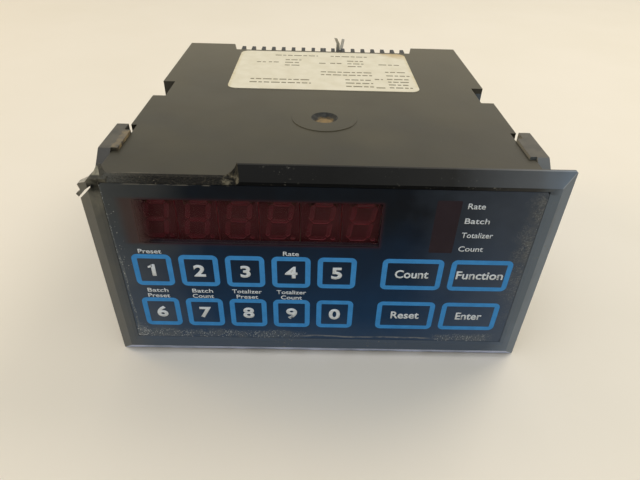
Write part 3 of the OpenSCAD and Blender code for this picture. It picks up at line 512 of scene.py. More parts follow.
    def broken(self, shader: Shader) -> None:
        """The raw, gritty faces of the break, paler to the left, with a tan tear, and the crack's shaded
        faces painted pale grey as painted light.

        Args:
            shader: The material to work on.
        """
        steep = shader.band(shader.facing()[1], *self.steep_facing, 0.05)
        depth = shader.band(shader.y, *self.break_y, 0.1)
        across = shader.band(shader.leaning(shader.x, shader.y, self.break_lean), *self.break_x, 0.3)
        raw = shader.product(across, depth, shader.band(shader.z, *self.break_z, 0.15), steep)
        shader.coat("#131312", raw, roughness=0.85, specular=0.25)
        shader.coat("#2b2923", raw, shader.cloud(0.8, 0.5, 0.66), roughness=0.9)
        pale = shader.ramp(shader.x, *self.pale_x)
        shader.coat("#666660", raw, pale, pale, roughness=0.85)
        shader.coat("#7b7464", raw, shader.specks(0.9, 0.16, 0.2), roughness=0.9)
        tear = shader.product(raw, shader.band(shader.wavy(shader.x, 2, 0.8), *self.tear_x, 0.8))
        shader.coat("#3d3a2f", tear, shader.cloud(1.4, 0.45, 0.62, stretch=(1, 1, 3)), roughness=0.85)
        foot = shader.band(shader.wavy(shader.z, 2, 0.6), *self.tear_foot, 0.8)
        shader.coat("#6f6a5a", tear, foot, shader.cloud(1.6, 0.5, 0.62, 7, (1, 1, 2)), roughness=0.85)
        # Painted light: the crack's shaded faces are painted pale grey
        crack = shader.product(shader.band(shader.x, *self.crack_x, 0.6),
                               shader.band(shader.z, *self.crack_z, 0.6), depth, steep)
        shader.coat("#b5b2a8", crack, shader.cloud(1.2, 0.1, 0.6), roughness=0.85)
        shader.relief(shader.product(raw, shader.cloud(0.6, *CLOUD_LEVELS)), 0.35)

    def residue(self, shader: Shader) -> None:
        """Painted light on the step round the gate's pad, painted shade on the wall of its dish and brown
        residue on the floor.

        Args:
            shader: The material to work on.
        """
        plan = {0: shader.mm, 1: (1, 1, 0)}
        flat = shader.add("ShaderNodeVectorMath", plan, operation="MULTIPLY").outputs[0]
        centre = {0: flat, 1: (*self.gate, 0.0)}
        away = shader.add("ShaderNodeVectorMath", centre, operation="DISTANCE").outputs["Value"]
        upward = shader.facing()[2]
        # Painted light: the step round the pad is painted in the top's paler grey, over its shaded wall
        step = shader.product(shader.band(away, *self.pad_rim, 0.1),
                              shader.band(upward, *self.step_facing, 0.1),
                              shader.band(shader.z, *self.pad_z, 0.1))
        shader.coat("#5e5947", step, 0.8, roughness=0.6)
        # Painted shade: the dish's wall is darkened, with paler patches in the shade
        wall = shader.product(shader.band(away, *self.dish_r, 0.1),
                              shader.band(upward, *self.wall_facing, 0.05))
        shader.coat("#2b2d2d", wall, 0.9, roughness=0.6, specular=0.2)
        shader.coat("#4a4c4a", wall, shader.cloud(1.2, 0.45, 0.65), 0.8, roughness=0.6)
        floor = shader.product(shader.band(shader.wavy(away, 2, 0.7), *self.residue_r, 2),
                               shader.band(shader.z, *self.residue_z, 0.5))
        shader.coat("#85704c", floor, shader.cloud(1.5, 0, 0.5), roughness=0.8)


@dataclass(frozen=True)
class ClipPlastic(Finish):
    """Satin black plastic: rubbed grey on top, with a tan stroke on the left clip and painted light on the
    right clip.
    """

    worn_x: Point = (-68.7, -66.0)
    worn_y: Point = (14.0, 29.0)
    worn_z: Point = (35.0, 40.0)
    top_facing: Point = (0.8, FULL)
    right_x: Point = (50.0, 90.0)
    inner_facing: Point = (-FULL, -0.5)
    front_facing: Point = (-FULL, -0.4)

    def detail(self, shader: Shader) -> None:
        """Lays the worn stroke, the rubbed tops and painted light on the right clip's inner and front faces
        over the plastic.

        Args:
            shader: The material to work on.
        """
        stroke = shader.product(shader.band(shader.wavy(shader.x, 3, 0.6), *self.worn_x, 0.6),
                                shader.band(shader.wavy(shader.y, 4, 1), *self.worn_y, 2),
                                shader.band(shader.z, *self.worn_z, 0.3))
        shader.coat("#8c7b5c", stroke, shader.cloud(2, 0.36, 0.54), roughness=0.85)
        across, along, upward = shader.facing()
        rubbed = shader.band(upward, *self.top_facing, 0.2)
        shader.coat("#5d5a52", rubbed, shader.cloud(4, 0.2, 0.6), 0.7, roughness=0.6)
        # Painted light: the right clip's inner and front faces are painted paler
        right = shader.band(shader.x, *self.right_x, 1)
        shader.coat("#8b887d", right, shader.band(across, *self.inner_facing, 0.2), 0.9, roughness=0.7)
        shader.coat("#666c70", right, shader.band(along, *self.front_facing, 0.2), 0.9, roughness=0.6)
        shader.coat("#8f8a7c", shader.specks(5, 0.25, 0.15), roughness=0.8)


@dataclass(frozen=True)
class FilmInk(Finish):
    """Printed polyester film: navy and softly glossy, with dust haze and painted reflection towards its
    edges, and gritty where dirt gathers along them.
    """

    blue_z: Point = (24.0, -34.0)
    right_haze_and_reflection_x: Point = (26.0, 70.0)
    left_haze_and_reflection_x: Point = (-38.0, -70.0)
    low_haze_and_reflection_z: Point = (-18.0, -34.0)
    window_x: Point = (-57.0, 18.2)
    window_z: Point = (11.8, 29.0)
    window_end: Point = (-62.5, -56.0)
    torn_x: Point = (-60.0, -29.0)
    torn_z: Point = (33.6, 36.0)
    right_edge_x: Point = (60.9, 66.4)
    right_edge_z: Point = (-40.0, 33.0)
    right_rise_z: Point = (-30.0, 14.0)
    dots_lean: float = 0.02
    dots_x: Point = (-66.6, -65.95)
    beside_x: Point = (-66.4, -63.2)
    beside_z: Point = (-4.0, 26.0)
    low_edge_z: Point = (-36.6, -27.2)
    left_patch_x: Point = (-80.0, -6.0)
    right_patch_x: Point = (43.0, 63.0)
    thin_line_x: Point = (-8.0, 41.0)
    thin_line_z: Point = (-29.7, -29.1)
    scuff_x: Point = (-70.0, -62.5)
    scuff_z: Point = (-34.0, -25.0)

    def detail(self, shader: Shader) -> None:
        """Lays haze with painted reflection, grit and dust over the print.

        Args:
            shader: The material to work on.
        """
        self.haze(shader)
        self.right_grit(shader)
        self.left_dots(shader)
        self.low_grit(shader)
        torn = shader.product(shader.band(shader.z, *self.torn_z, 0.15),
                              shader.band(shader.x, *self.torn_x, 2))
        shader.coat("#7d7a72", torn, shader.cloud(1, 0.5, 0.6, stretch=(4, 1, 1)), 0.6, roughness=0.9)
        shader.coat("#9fa1a0", shader.specks(6, 0.16, 0.2), shader.cloud(20, 0.4, 0.6), roughness=0.8)

    def haze(self, shader: Shader) -> None:
        """A bluer lower half, grey towards three edges as dust haze and painted reflection, and a red margin
        round the display window.

        Args:
            shader: The material to work on.
        """
        shader.coat("#25568a", shader.ramp(shader.wavy(shader.z, 10, 3), *self.blue_z, 0.46), roughness=0.45)
        # Grey towards the right, left and lower edges: dust haze, and painted reflection of the room in the
        # gloss
        for axis, reach, most, colour in ((shader.x, self.right_haze_and_reflection_x, 0.6, "#586272"),
                                          (shader.x, self.left_haze_and_reflection_x, 0.45, "#6b6f70"),
                                          (shader.z, self.low_haze_and_reflection_z, 0.2, "#6b6f70")):
            shader.coat(colour, shader.ramp(shader.wavy(axis, 12, 4), *reach, most), roughness=0.5)
        level = shader.band(shader.z, *self.window_z, 1.4)
        shader.coat("#3a1a20", level, shader.band(shader.x, *self.window_x, 1.8), 0.7)
        shader.coat("#463431", level, shader.band(shader.x, *self.window_end, 4), 0.7)

    def right_grit(self, shader: Shader) -> None:
        """A grey, gritty band along the right edge, thicker towards the top.

        Args:
            shader: The material to work on.
        """
        band = shader.product(shader.ramp(shader.wavy(shader.x, 5, 1.5), *self.right_edge_x),
                              shader.ramp(shader.wavy(shader.z, 9, 4), *self.right_rise_z),
                              shader.band(shader.z, *self.right_edge_z, 4))
        grains = shader.product(shader.cloud(0.6, 0.48, 0.66, 5), shader.cloud(5, 0.36, 0.52))
        dots = shader.product(shader.specks(0.6, 0.18, 0.3), shader.cloud(5, 0.36, 0.52, 9))
        shader.coat("#656767", band, shader.cloud(1.6, 0.25, 0.65), 0.75, roughness=0.8)
        shader.coat("#7f8283", band, grains, 0.6, roughness=0.9)
        shader.coat("#9a9d9e", band, dots, 0.8, roughness=0.9)

    def left_dots(self, shader: Shader) -> None:
        """A fine line of pale dots along the left edge, and a few beside it.

        Args:
            shader: The material to work on.
        """
        aslant = shader.leaning(shader.x, shader.z, self.dots_lean)
        line = shader.band(shader.wavy(aslant, 12, 0.3), *self.dots_x, 0.4)
        shader.coat("#7c8081", line, shader.cloud(6, 0.35, 0.6), 0.3, roughness=0.8)
        shader.coat("#a6abac", line, shader.specks(0.45, 0.2, 0.8), shader.cloud(5, 0.3, 0.5), roughness=0.9)
        beside = shader.product(shader.band(aslant, *self.beside_x, 1),
                                shader.band(shader.z, *self.beside_z, 10))
        few = shader.product(shader.specks(0.7, 0.17, 0.3), shader.cloud(6, 0.42, 0.58))
        shader.coat("#b4b8b8", beside, few, roughness=0.9)

    def low_grit(self, shader: Shader) -> None:
        """Pale grit along the lower edge: thick at the left and in a patch at the right, thin between.

        Args:
            shader: The material to work on.
        """
        strip = shader.band(shader.wavy(shader.z, 6, 0.8), *self.low_edge_z, 2)
        patches = {0: shader.band(shader.wavy(shader.x, 9, 4), *self.left_patch_x, 9),
                   1: shader.band(shader.wavy(shader.x, 6, 2), *self.right_patch_x, 5)}
        grit = shader.product(strip, shader.add("ShaderNodeMath", patches, operation="MAXIMUM").outputs[0])
        # Real grit is finer than these grains, which are as coarse as they need to be to show
        grains = shader.product(shader.specks(0.5, 0.19, 0.45), shader.cloud(3, 0.33, 0.52))
        shader.coat("#646a70", grit, shader.cloud(2.5, 0.25, 0.7), 0.7, roughness=0.8)
        shader.coat("#b9c0c5", grit, grains, roughness=0.9)
        thin = shader.product(shader.band(shader.wavy(shader.z, 12, 0.5), *self.thin_line_z, 0.5),
                              shader.band(shader.x, *self.thin_line_x, 8))
        shader.coat("#8f9192", thin, shader.cloud(3, 0.3, 0.6), 0.7, roughness=0.8)
        scuff = shader.product(shader.band(shader.wavy(shader.x, 3, 1), *self.scuff_x, 2),
                               shader.band(shader.wavy(shader.z, 3, 1), *self.scuff_z, 3))
        shader.coat("#8d9195", scuff, shader.cloud(1.1, 0.4, 0.7), 0.4, roughness=0.9)
        shader.coat("#cdd1d4", scuff, shader.specks(0.5, 0.19, 0.4), roughness=0.9)


@dataclass(frozen=True)
class VeiledPane(Finish):
    """The film's clear red window: smooth, darker along its edges and veiled at its left end."""

    window_x: Point = (-70.0, 17.2)
    window_z: Point = (12.8, 28.0)
    veil_x: Point = (-54.0, -59.0)
    veil_alpha: float = 0.96

    def detail(self, shader: Shader) -> None:
        """Lays ink over the window's edges and a veil over its left end.

        Args:
            shader: The material to work on.
        """
        inner = shader.product(shader.band(shader.x, *self.window_x, 1.6),
                               shader.band(shader.z, *self.window_z, 1.6))
        shader.coat("#15171b", shader.outside(inner), 0.9)
        shader.coat("#443231", shader.ramp(shader.x, *self.veil_x))
        veil = shader.ramp(shader.x, *self.veil_x, self.veil_alpha - self.alpha)
        shader.cover = shader.add("ShaderNodeMath", {0: veil, 1: self.alpha}).outputs[0]


@dataclass(frozen=True)
class StrokedMoulding(Finish):
    """A digit's dark moulding with its sides painted paler as painted light in the dark gaps between digits,
    and with paler strokes sunk into its face.
    """

    stroke: str = "#5c2731"
    # Painted light: the sides' pale colour, which fills the dark gaps between digits
    side: str = "#c8646f"
    face_facing: Point = (-FULL, -0.5)
    side_x: Point = (-90.0, 5.0)
    stroke_y: Point = (-0.1, 0.3)

    def detail(self, shader: Shader) -> None:
        """Colours the sides with painted light and the floors of the strokes.

        Args:
            shader: The material to work on.
        """
        face = shader.band(shader.facing()[1], *self.face_facing, 0.1)
        # Painted light: the sides are painted pale, more so to the right, so that the dark gaps between
        # digits don't show
        shader.coat(self.side, shader.outside(face), shader.ramp(shader.x, *self.side_x))
        shader.coat(self.stroke, face, shader.band(shader.y, *self.stroke_y, 0.05))


@dataclass(frozen=True)
class AgedLabel(Finish):
    """Cream label paper, browner towards its edges and stained in one corner."""

    stain_x: Point = (31.65, 49.65)
    stain_y: Point = (122.1, 137.1)
    middle_x: Point = (-39.65, 39.65)

    def detail(self, shader: Shader) -> None:
        """Lays the stain and the browned edges over the paper.

        Args:
            shader: The material to work on.
        """
        stain = shader.product(shader.band(shader.wavy(shader.x, 8, 3), *self.stain_x, 8),
                               shader.band(shader.wavy(shader.y, 8, 3), *self.stain_y, 6))
        shader.coat("#b59a62", stain, 0.7)
        middle = shader.band(shader.x, *self.middle_x, 2)
        shader.coat("#c9bd97", shader.outside(middle), shader.cloud(5, 0.3, 0.7))


@dataclass(frozen=True)
class EtchedBoard(Finish):
    """Green coated laminate with tracks that show through the coat."""

    tracks_per_mm: float = 0.12
    track_w: float = 0.03

    def detail(self, shader: Shader) -> None:
        """Lays paler tracks under the green coat.

        Args:
            shader: The material to work on.
        """
        grid = {"Vector": shader.mm, "Scale": self.tracks_per_mm, "Mortar Size": self.track_w}
        shader.coat("#5d9a55", shader.add("ShaderNodeTexBrick", grid).outputs["Fac"], 0.7)


FINISHES: dict[Slot, Finish] = {
    # Moulded ABS: black of its own, with a satin sheen that soft light turns grey
    Slot.HOUSING: HousingPlastic("black_abs_moulded", "#29271e", "#2f2c21", 0.42, mottle_mm=14, edge_mm=0.15),
    # Moulded nylon: a little paler and duller, with softly rounded edges
    Slot.CLIP: ClipPlastic("black_nylon_moulded", "#32322f", "#3a3935", 0.45, edge_mm=0.3),
    # Coated paper: cream, even and nearly matt
    Slot.LABEL: AgedLabel("cream_label_paper", "#dcd8c6", "#d2cdb8", 0.55, relief_mm=0.004),
    # Screen-printed polyester: so deep a navy that its soft gloss gives much of its colour
    Slot.FILM: FilmInk("navy_printed_polyester", "#060e19", "#08131f", 0.36, specular=0.09, relief_mm=0.004,
                       grain_mm=0.9),
    # Polyester sheet: smoked grey and smooth
    Slot.SHEET: Finish("smoked_polyester_sheet", "#39393a", "#333334", 0.35),
    # Cast acrylic: glossy, and clear enough for the digits to show through
    Slot.FILTER: Finish("deep_red_acrylic", "#6a1618", "#601315", 0.12, ior=1.49, alpha=0.08, relief_mm=0.0),
    # Cast epoxy: a dull dark red
    Slot.DIGIT: StrokedMoulding("digit_epoxy_moulding", "#3c151c", "#38131a", 0.5, specular=0.1),
    # Cast epoxy: red and glossy
    Slot.LAMP: Finish("red_lamp_epoxy", "#7a1a1a", "#6b1515", 0.2),
    # Glass laminate under a green coat: glossy
    Slot.BOARD: EtchedBoard("green_coated_laminate", "#1f5a30", "#246637", 0.35, mottle_mm=12),
    # Moulded nylon: black and dull
    Slot.CONNECTOR: Finish("black_connector_nylon", "#232323", "#2b2b2b", 0.5),
    # Moulded resin: black, matt and finely grained
    Slot.CHIP: Finish("black_chip_resin", "#1f1f21", "#27272a", 0.6, grain_mm=0.2),
    # Zinc on steel: a bright grey metal, slightly clouded
    Slot.STEEL: Finish("zinc_plated_steel", "#b9bcbe", "#a7a9a6", 0.3, metallic=1.0),
    # Varnished steel sheets: a dark, dull metal
    Slot.CORE: Finish("varnished_lamination_steel", "#5b5d60", "#4b4a48", 0.45, metallic=0.9),
    # Wound tape: yellow and softly glossy
    Slot.COIL: Finish("yellow_coil_tape", "#c7a85c", "#b3924a", 0.35, mottle_mm=3),
    # Moulded plastic: pale and smooth
    Slot.RELAY: Finish("pale_relay_plastic", "#d2cfc4", "#c6c2b4", 0.35),
    # Shrunk film: dark blue-grey and glossy
    Slot.CAPACITOR: Finish("dark_shrink_sleeve", "#222c3a", "#2a3645", 0.3),
    # Extruded aluminium: a pale satin metal
    Slot.SINK: Finish("extruded_aluminium", "#a5a9ab", "#989b9c", 0.4, metallic=1.0),
    # Moulded nylon: dark grey and dull
    Slot.TERMINAL: Finish("grey_terminal_nylon", "#2a2d31", "#33363a", 0.5, edge_mm=0.2),
    # Plain brass: a yellow metal, browner in patches
    Slot.BRASS: Finish("plain_brass", "#c8a24a", "#a98537", 0.35, metallic=1.0),
    # Tinned brass: a pale metal, dulled by age
    Slot.TINNED: Finish("tinned_brass", "#dad7cc", "#bfbbae", 0.35, metallic=0.5, mottle_mm=2, edge_mm=0.2),
}

# Screen ink: bright blue, thin and even
FRAME_BLUE = Finish("blue_screen_ink", "#388fd8", "#3284ca", 0.4, specular=0.2, mottle_mm=3, relief_mm=0.003)

# Screen ink: white with a touch of blue
LEGEND_WHITE = Finish("white_screen_ink", "#dfe8f2", "#cfd8e2", 0.45, specular=0.2, mottle_mm=1.5,
                      relief_mm=0.003)

# Clear polyester tinted red: smooth, and it hardly covers what lies behind it
DISPLAY_TINT = VeiledPane("clear_red_film", "#47171e", "#40151b", 0.36, specular=0.2, alpha=0.05,
                          relief_mm=0.0)

# Smoked polyester tinted red: nearly closed, so that the lamps behind it hardly show
INDICATOR_TINT = Finish("smoked_red_film", "#2b212a", "#271d26", 0.36, specular=0.12, alpha=0.94,
                        relief_mm=0.003)

# Ink on paper: grey, matt and patchy
LABEL_PRINT = Finish("grey_label_ink", "#77725f", "#858068", 0.6, mottle_mm=2)

# Table laminate: pale, plain and nearly matt
TABLE = Finish("pale_table_laminate", "#ece7dc", "#e9e4d8", 0.55, mottle_mm=90, relief_mm=0.0)


def rounded_face(bm: bmesh.types.BMesh, at: Point, size: Point, radius: float) -> bmesh.types.BMFace:
    """Adds a flat face with round corners.

    Args:
        bm: The mesh to add to.
        at: Centre of the face.
        size: Its width and height.
        radius: Radius of its corners.

    Returns:
        The face.
    """
    there = set(bm.faces)
    place = Matrix.Translation((*at, 0)) @ Matrix.Diagonal((*size, 1, 1))
    made = bmesh.ops.create_grid(bm, x_segments=1, y_segments=1, size=0.5, matrix=place)
    bmesh.ops.bevel(bm, geom=made["verts"], offset=radius, affect="VERTICES", segments=CORNER_STEPS,
                    profile=0.5, material=-1)
    return max(set(bm.faces) - there, key=lambda face: face.calc_area())


def thicken(bm: bmesh.types.BMesh, height: float) -> None:
    """Raises every face of a flat mesh into a closed plate.

    Args:
        bm: The flat mesh.
        height: The plate's thickness.
    """
    made = bmesh.ops.extrude_face_region(bm, geom=bm.faces[:])
    raised = [v for v in made["geom"] if isinstance(v, bmesh.types.BMVert)]
    bmesh.ops.translate(bm, verts=raised, vec=(0, 0, height))
    bmesh.ops.recalc_face_normals(bm, faces=bm.faces[:])


def to_front(bm: bmesh.types.BMesh, depth: float) -> None:
    """Stands a plan up as a front view, with its height towards the front.

    Args:
        bm: The mesh drawn in plan.
        depth: Where its plane stands along Y.
    """
    turn = Matrix.Translation((0, depth, 0)) @ Matrix.Rotation(math.pi / 2, 4, "X")
    bmesh.ops.transform(bm, matrix=turn, verts=bm.verts[:])


def place_piece(bm: bmesh.types.BMesh, name: str, finish: Finish) -> bpy.types.Object:
    """Turns a mesh in millimetres into a piece that rides on the object.

    Args:
        bm: The mesh, which is freed.
        name: The piece's name.
        finish: Its finish.

    Returns:
        The piece.
    """
    bmesh.ops.scale(bm, vec=(MM, MM, MM), verts=bm.verts[:])
    mesh = bpy.data.meshes.new(name)
    bm.to_mesh(mesh)
    bm.free()
    mesh.materials.append(finish.make())
    piece = bpy.data.objects.new(name, mesh)
    bpy.context.scene.collection.objects.link(piece)
    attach(piece, BODY)
    LOG.info("piece %s: %d faces", name, len(mesh.polygons))
    return piece


def word_mesh(text: str, bold: float) -> bpy.types.Mesh:
    """Makes a word a flat mesh at unit size, with its baseline at zero.

    Args:
        text: The word.
        bold: How far its strokes are spread, at unit size.

    Returns:
        The mesh.
    """
    curve = bpy.data.curves.new("word", "FONT")
    curve.body = text
    curve.offset = bold
    curve.resolution_u = LETTER_STEPS
    holder = bpy.data.objects.new("word", curve)
    bpy.context.scene.collection.objects.link(holder)
    mesh = bpy.data.meshes.new_from_object(holder.evaluated_get(bpy.context.evaluated_depsgraph_get()))
    bpy.data.objects.remove(holder)
    bpy.data.curves.remove(curve)
    return mesh


def span_of(mesh: bpy.types.Mesh, axis: int) -> Point:
    """Lowest and highest coordinate of a mesh along an axis."""
    values = [v.co[axis] for v in mesh.vertices]
    return min(values), max(values)


def word_span(text: str, bold: float, axis: int) -> Point:
    """Lowest and highest coordinate of a word at unit size along an axis.

    Args:
        text: The word.
        bold: How far its strokes are spread, at unit size.
        axis: The axis, by number.

    Returns:
        Both coordinates.
    """
    mesh = word_mesh(text, bold)
    span = span_of(mesh, axis)
    bpy.data.meshes.remove(mesh)
    return span


class Align(Enum):
    """Which point of a word its place gives, as a share of its width."""

    LEFT = 0.0
    MIDDLE = 0.5


@dataclass
class Legend:
    """One printed word or numeral, in millimetres. Its width is the gauge's, where a gauge is given."""

    text: str
    x: float
    baseline: float
    cap: float
    width: float
    align: Align = Align.MIDDLE
    gauge: str = ""

    def draw(self, bm: bmesh.types.BMesh, bold: float) -> None:
        """Adds the word to a flat mesh.

        Args:
            bm: The mesh to add to.
            bold: How far the strokes are spread, at unit size.
        """
        mesh = word_mesh(self.text, bold)
        foot, head = word_span(CAPITAL, bold, 1)
        left, right = span_of(mesh, 0)
        first, last = word_span(self.gauge or self.text, bold, 0)
        wide = self.width / (last - first)
        high = self.cap / (head - foot)
        start = self.x - self.align.value * wide * (right - left)
        shift = Matrix.Translation((start - wide * left, self.baseline - high * foot, 0))
        mesh.transform(shift @ Matrix.Diagonal((wide, high, 1, 1)))
        bm.from_mesh(mesh)
        bpy.data.meshes.remove(mesh)


@dataclass
class FrontFilm:
    """The printed film with its two clear windows, key frames, numerals and words, in millimetres."""

    corner_r: float = 1.0
    window: Point = (76.6, 16.3)
    window_at: Point = (46.3, 13.5)
    lamp_window: Point = (7.6, 19.8)
    lamp_window_inset: float = 29.1
    window_r: float = 0.5
    key: Point = (12.9, 13.3)
    key_at: Point = (10.7, 31.6)
    rows: int = 2
    row_pitch: float = 19.0
    key_columns: int = 5
    key_pitch: float = 15.24
    function_key_w: float = 20.4
    function_key_inset: float = 37.0
    function_columns: int = 2
    function_pitch: float = 22.86
    key_r: float = 2.0
    frame_w: float = 1.75
    ink_t: float = 0.03
    numeral_cap: float = 5.0
    numeral_w: float = 4.0
    numeral_bold: float = 0.035
    one_flag: tuple[Point, ...] = (
        (-1.7, 0.9), (-0.3, 1.3), (-0.3, 2.5), (-0.6, 2.5), (-1.0, 1.9), (-1.7, 1.6))
    function_cap: float = 3.4
    function_drop: float = 1.5
    function_bold: float = 0.02
    legend_cap: float = 1.7
    legend_gap: float = 0.4
    line_pitch: float = 2.45
    legend_bold: float = 0.012
    word_widths: dict[str, float] = field(default_factory=lambda: {
        "Preset": 7.5, "Rate": 5.2, "Batch": 7.1, "Count": 7.3, "Totalizer": 10.2})
    side_cap: float = 2.0
    side_x: float = 23.4
    side_bold: float = 0.008
    lamp_pitch: float = 5.4
    numerals: tuple[str, str] = ("12345", "67890")
    upper_words: tuple[str, ...] = ("Preset", "", "", "Rate")
    lower_words: tuple[tuple[str, str], ...] = (
        ("Batch", "Preset"), ("Batch", "Count"), ("Totalizer", "Preset"), ("Totalizer", "Count"))
    function_words: tuple[tuple[str, float], ...] = (
        ("Count", 11.3), ("Function", 15.9), ("Reset", 10.1), ("Enter", 9.4))
    side_words: tuple[tuple[str, float], ...] = (
        ("Rate", 5.4), ("Batch", 7.8), ("Totalizer", 10.0), ("Count", 8.0))
    low: Vector = field(init=False)
    high: Vector = field(init=False)

    def __post_init__(self) -> None:
        """Takes the film's place from the frame."""
        low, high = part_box("overlay_film")
        self.low = low / MM
        self.high = high / MM

    def build(self) -> None:
        """Builds every piece of the printed front."""
        self.film()
        self.windows()
        self.key_frames()
        self.lettering()

    def window_places(self) -> list[tuple[Point, Point]]:
        """Centre and size of both windows."""
        z = self.high.z - self.window_at[1]
        return [((self.low.x + self.window_at[0], z), self.window),
                ((self.high.x - self.lamp_window_inset, z), self.lamp_window)]

    def key_places(self) -> list[Point]:
        """Centres of the number keys, row by row."""
        first = (self.low.x + self.key_at[0], self.low.z + self.key_at[1])
        return [(first[0] + i * self.key_pitch, first[1] - row * self.row_pitch)
                for row in range(self.rows) for i in range(self.key_columns)]

    def function_places(self) -> list[Point]:
        """Centres of the function keys, row by row."""
        first = (self.high.x - self.function_key_inset, self.low.z + self.key_at[1])
        return [(first[0] + i * self.function_pitch, first[1] - row * self.row_pitch)
                for row in range(self.rows) for i in range(self.function_columns)]

    def film(self) -> None:
        """The opaque print of the film, open at both windows."""
        bm = bmesh.new()
        centre = ((self.low.x + self.high.x) / 2, (self.low.z + self.high.z) / 2)
        size = (self.high.x - self.low.x, self.high.z - self.low.z)
        rounded_face(bm, centre, size, self.corner_r)
        for at, window in self.window_places():
            rounded_face(bm, at, window, self.window_r)
        bmesh.ops.delete(bm, geom=bm.faces[:], context="FACES_ONLY")
        bmesh.ops.triangle_fill(bm, use_beauty=True, edges=bm.edges[:])
        thicken(bm, self.high.y - self.low.y)
        to_front(bm, self.high.y)
        piece = place_piece(bm, "printed_film", FINISHES[Slot.FILM])
        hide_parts("overlay_film")

    def windows(self) -> None:
        """The clear windows of the film, the one over the lamps greyer."""
        finishes = {"display_pane": DISPLAY_TINT, "indicator_pane": INDICATOR_TINT}
        for (name, finish), (at, window) in zip(finishes.items(), self.window_places()):
            bm = bmesh.new()
            rounded_face(bm, at, window, self.window_r)
            thicken(bm, self.high.y - self.low.y)
            to_front(bm, self.high.y)
            piece = place_piece(bm, name, finish)
            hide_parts("overlay_film")

    def key_frames(self) -> None:
        """A blue frame round every key."""
        bm = bmesh.new()
        faces = [rounded_face(bm, at, self.key, self.key_r) for at in self.key_places()]
        wide = (self.function_key_w, self.key[1])
        faces += [rounded_face(bm, at, wide, self.key_r) for at in self.function_places()]
        bmesh.ops.inset_individual(bm, faces=faces, thickness=self.frame_w, use_even_offset=True)
        bmesh.ops.delete(bm, geom=faces, context="FACES")
        thicken(bm, self.ink_t)
        to_front(bm, self.low.y)
        place_piece(bm, "key_frames", FRAME_BLUE)

    def lettering(self) -> None:
        """The numerals on the keys and the words beside them."""
        numerals = [Legend(text, x, z - self.numeral_cap / 2, self.numeral_cap, self.numeral_w, gauge="0")
                    for text, (x, z) in zip("".join(self.numerals), self.key_places())]
        self.print_words("key_numerals", numerals, self.numeral_bold)
        functions = [Legend(text, x, z - self.function_drop, self.function_cap, width)
                     for (text, width), (x, z) in zip(self.function_words, self.function_places())]
        self.print_words("function_words", functions, self.function_bold)
        self.print_words("key_words", self.key_legends(), self.legend_bold)
        self.print_words("lamp_words", self.side_legends(), self.side_bold)
        self.flag_of_one()

    def flag_of_one(self) -> None:
        """The flag of the numeral one, which the plain stroke lacks."""
        x, z = self.key_places()[0]
        bm = bmesh.new()
        outline = [bm.verts.new((x + a, z + b, 0)) for a, b in self.one_flag]
        bmesh.ops.contextual_create(bm, geom=outline)
        thicken(bm, self.ink_t)
        to_front(bm, self.low.y)
        place_piece(bm, "numeral_flag", LEGEND_WHITE)

    def key_legends(self) -> list[Legend]:
        """The small words above the number keys."""
        made = []
        keys = self.key_places()
        for text, (x, z) in zip(self.upper_words, keys):
            if text:
                line = z + self.key[1] / 2 + self.legend_gap
                made.append(Legend(text, x, line, self.legend_cap, self.word_widths[text]))
        for lines, (x, z) in zip(self.lower_words, keys[self.key_columns:]):
            base = z + self.key[1] / 2 + self.legend_gap / 2
            for i, text in enumerate(reversed(lines)):
                line = base + i * self.line_pitch
                made.append(Legend(text, x, line, self.legend_cap, self.word_widths[text]))
        return made

    def side_legends(self) -> list[Legend]:
        """The words beside the indicator window."""
        middle = self.high.z - self.window_at[1]
        top = middle + (len(self.side_words) - 1) / 2 * self.lamp_pitch - self.side_cap / 2
        left = self.high.x - self.side_x
        return [Legend(text, left, top - i * self.lamp_pitch, self.side_cap, width, Align.LEFT)
                for i, (text, width) in enumerate(self.side_words)]

    def print_words(self, name: str, words: list[Legend], bold: float) -> None:
        """Prints a group of words on the film.

        Args:
            name: The piece's name.
            words: The words.
            bold: How far their strokes are spread, at unit size.
        """
        bm = bmesh.new()
        for word in words:
            word.draw(bm, bold)
        thicken(bm, self.ink_t)
        to_front(bm, self.low.y)
        place_piece(bm, name, LEGEND_WHITE)


@dataclass(frozen=True)
class BarBlock:
    """One block of bars: its ends, the place of its first line, and its rows with their pitch."""

    left: float
    right: float
    first: float
    rows: int = 1
    pitch: float = 0.0


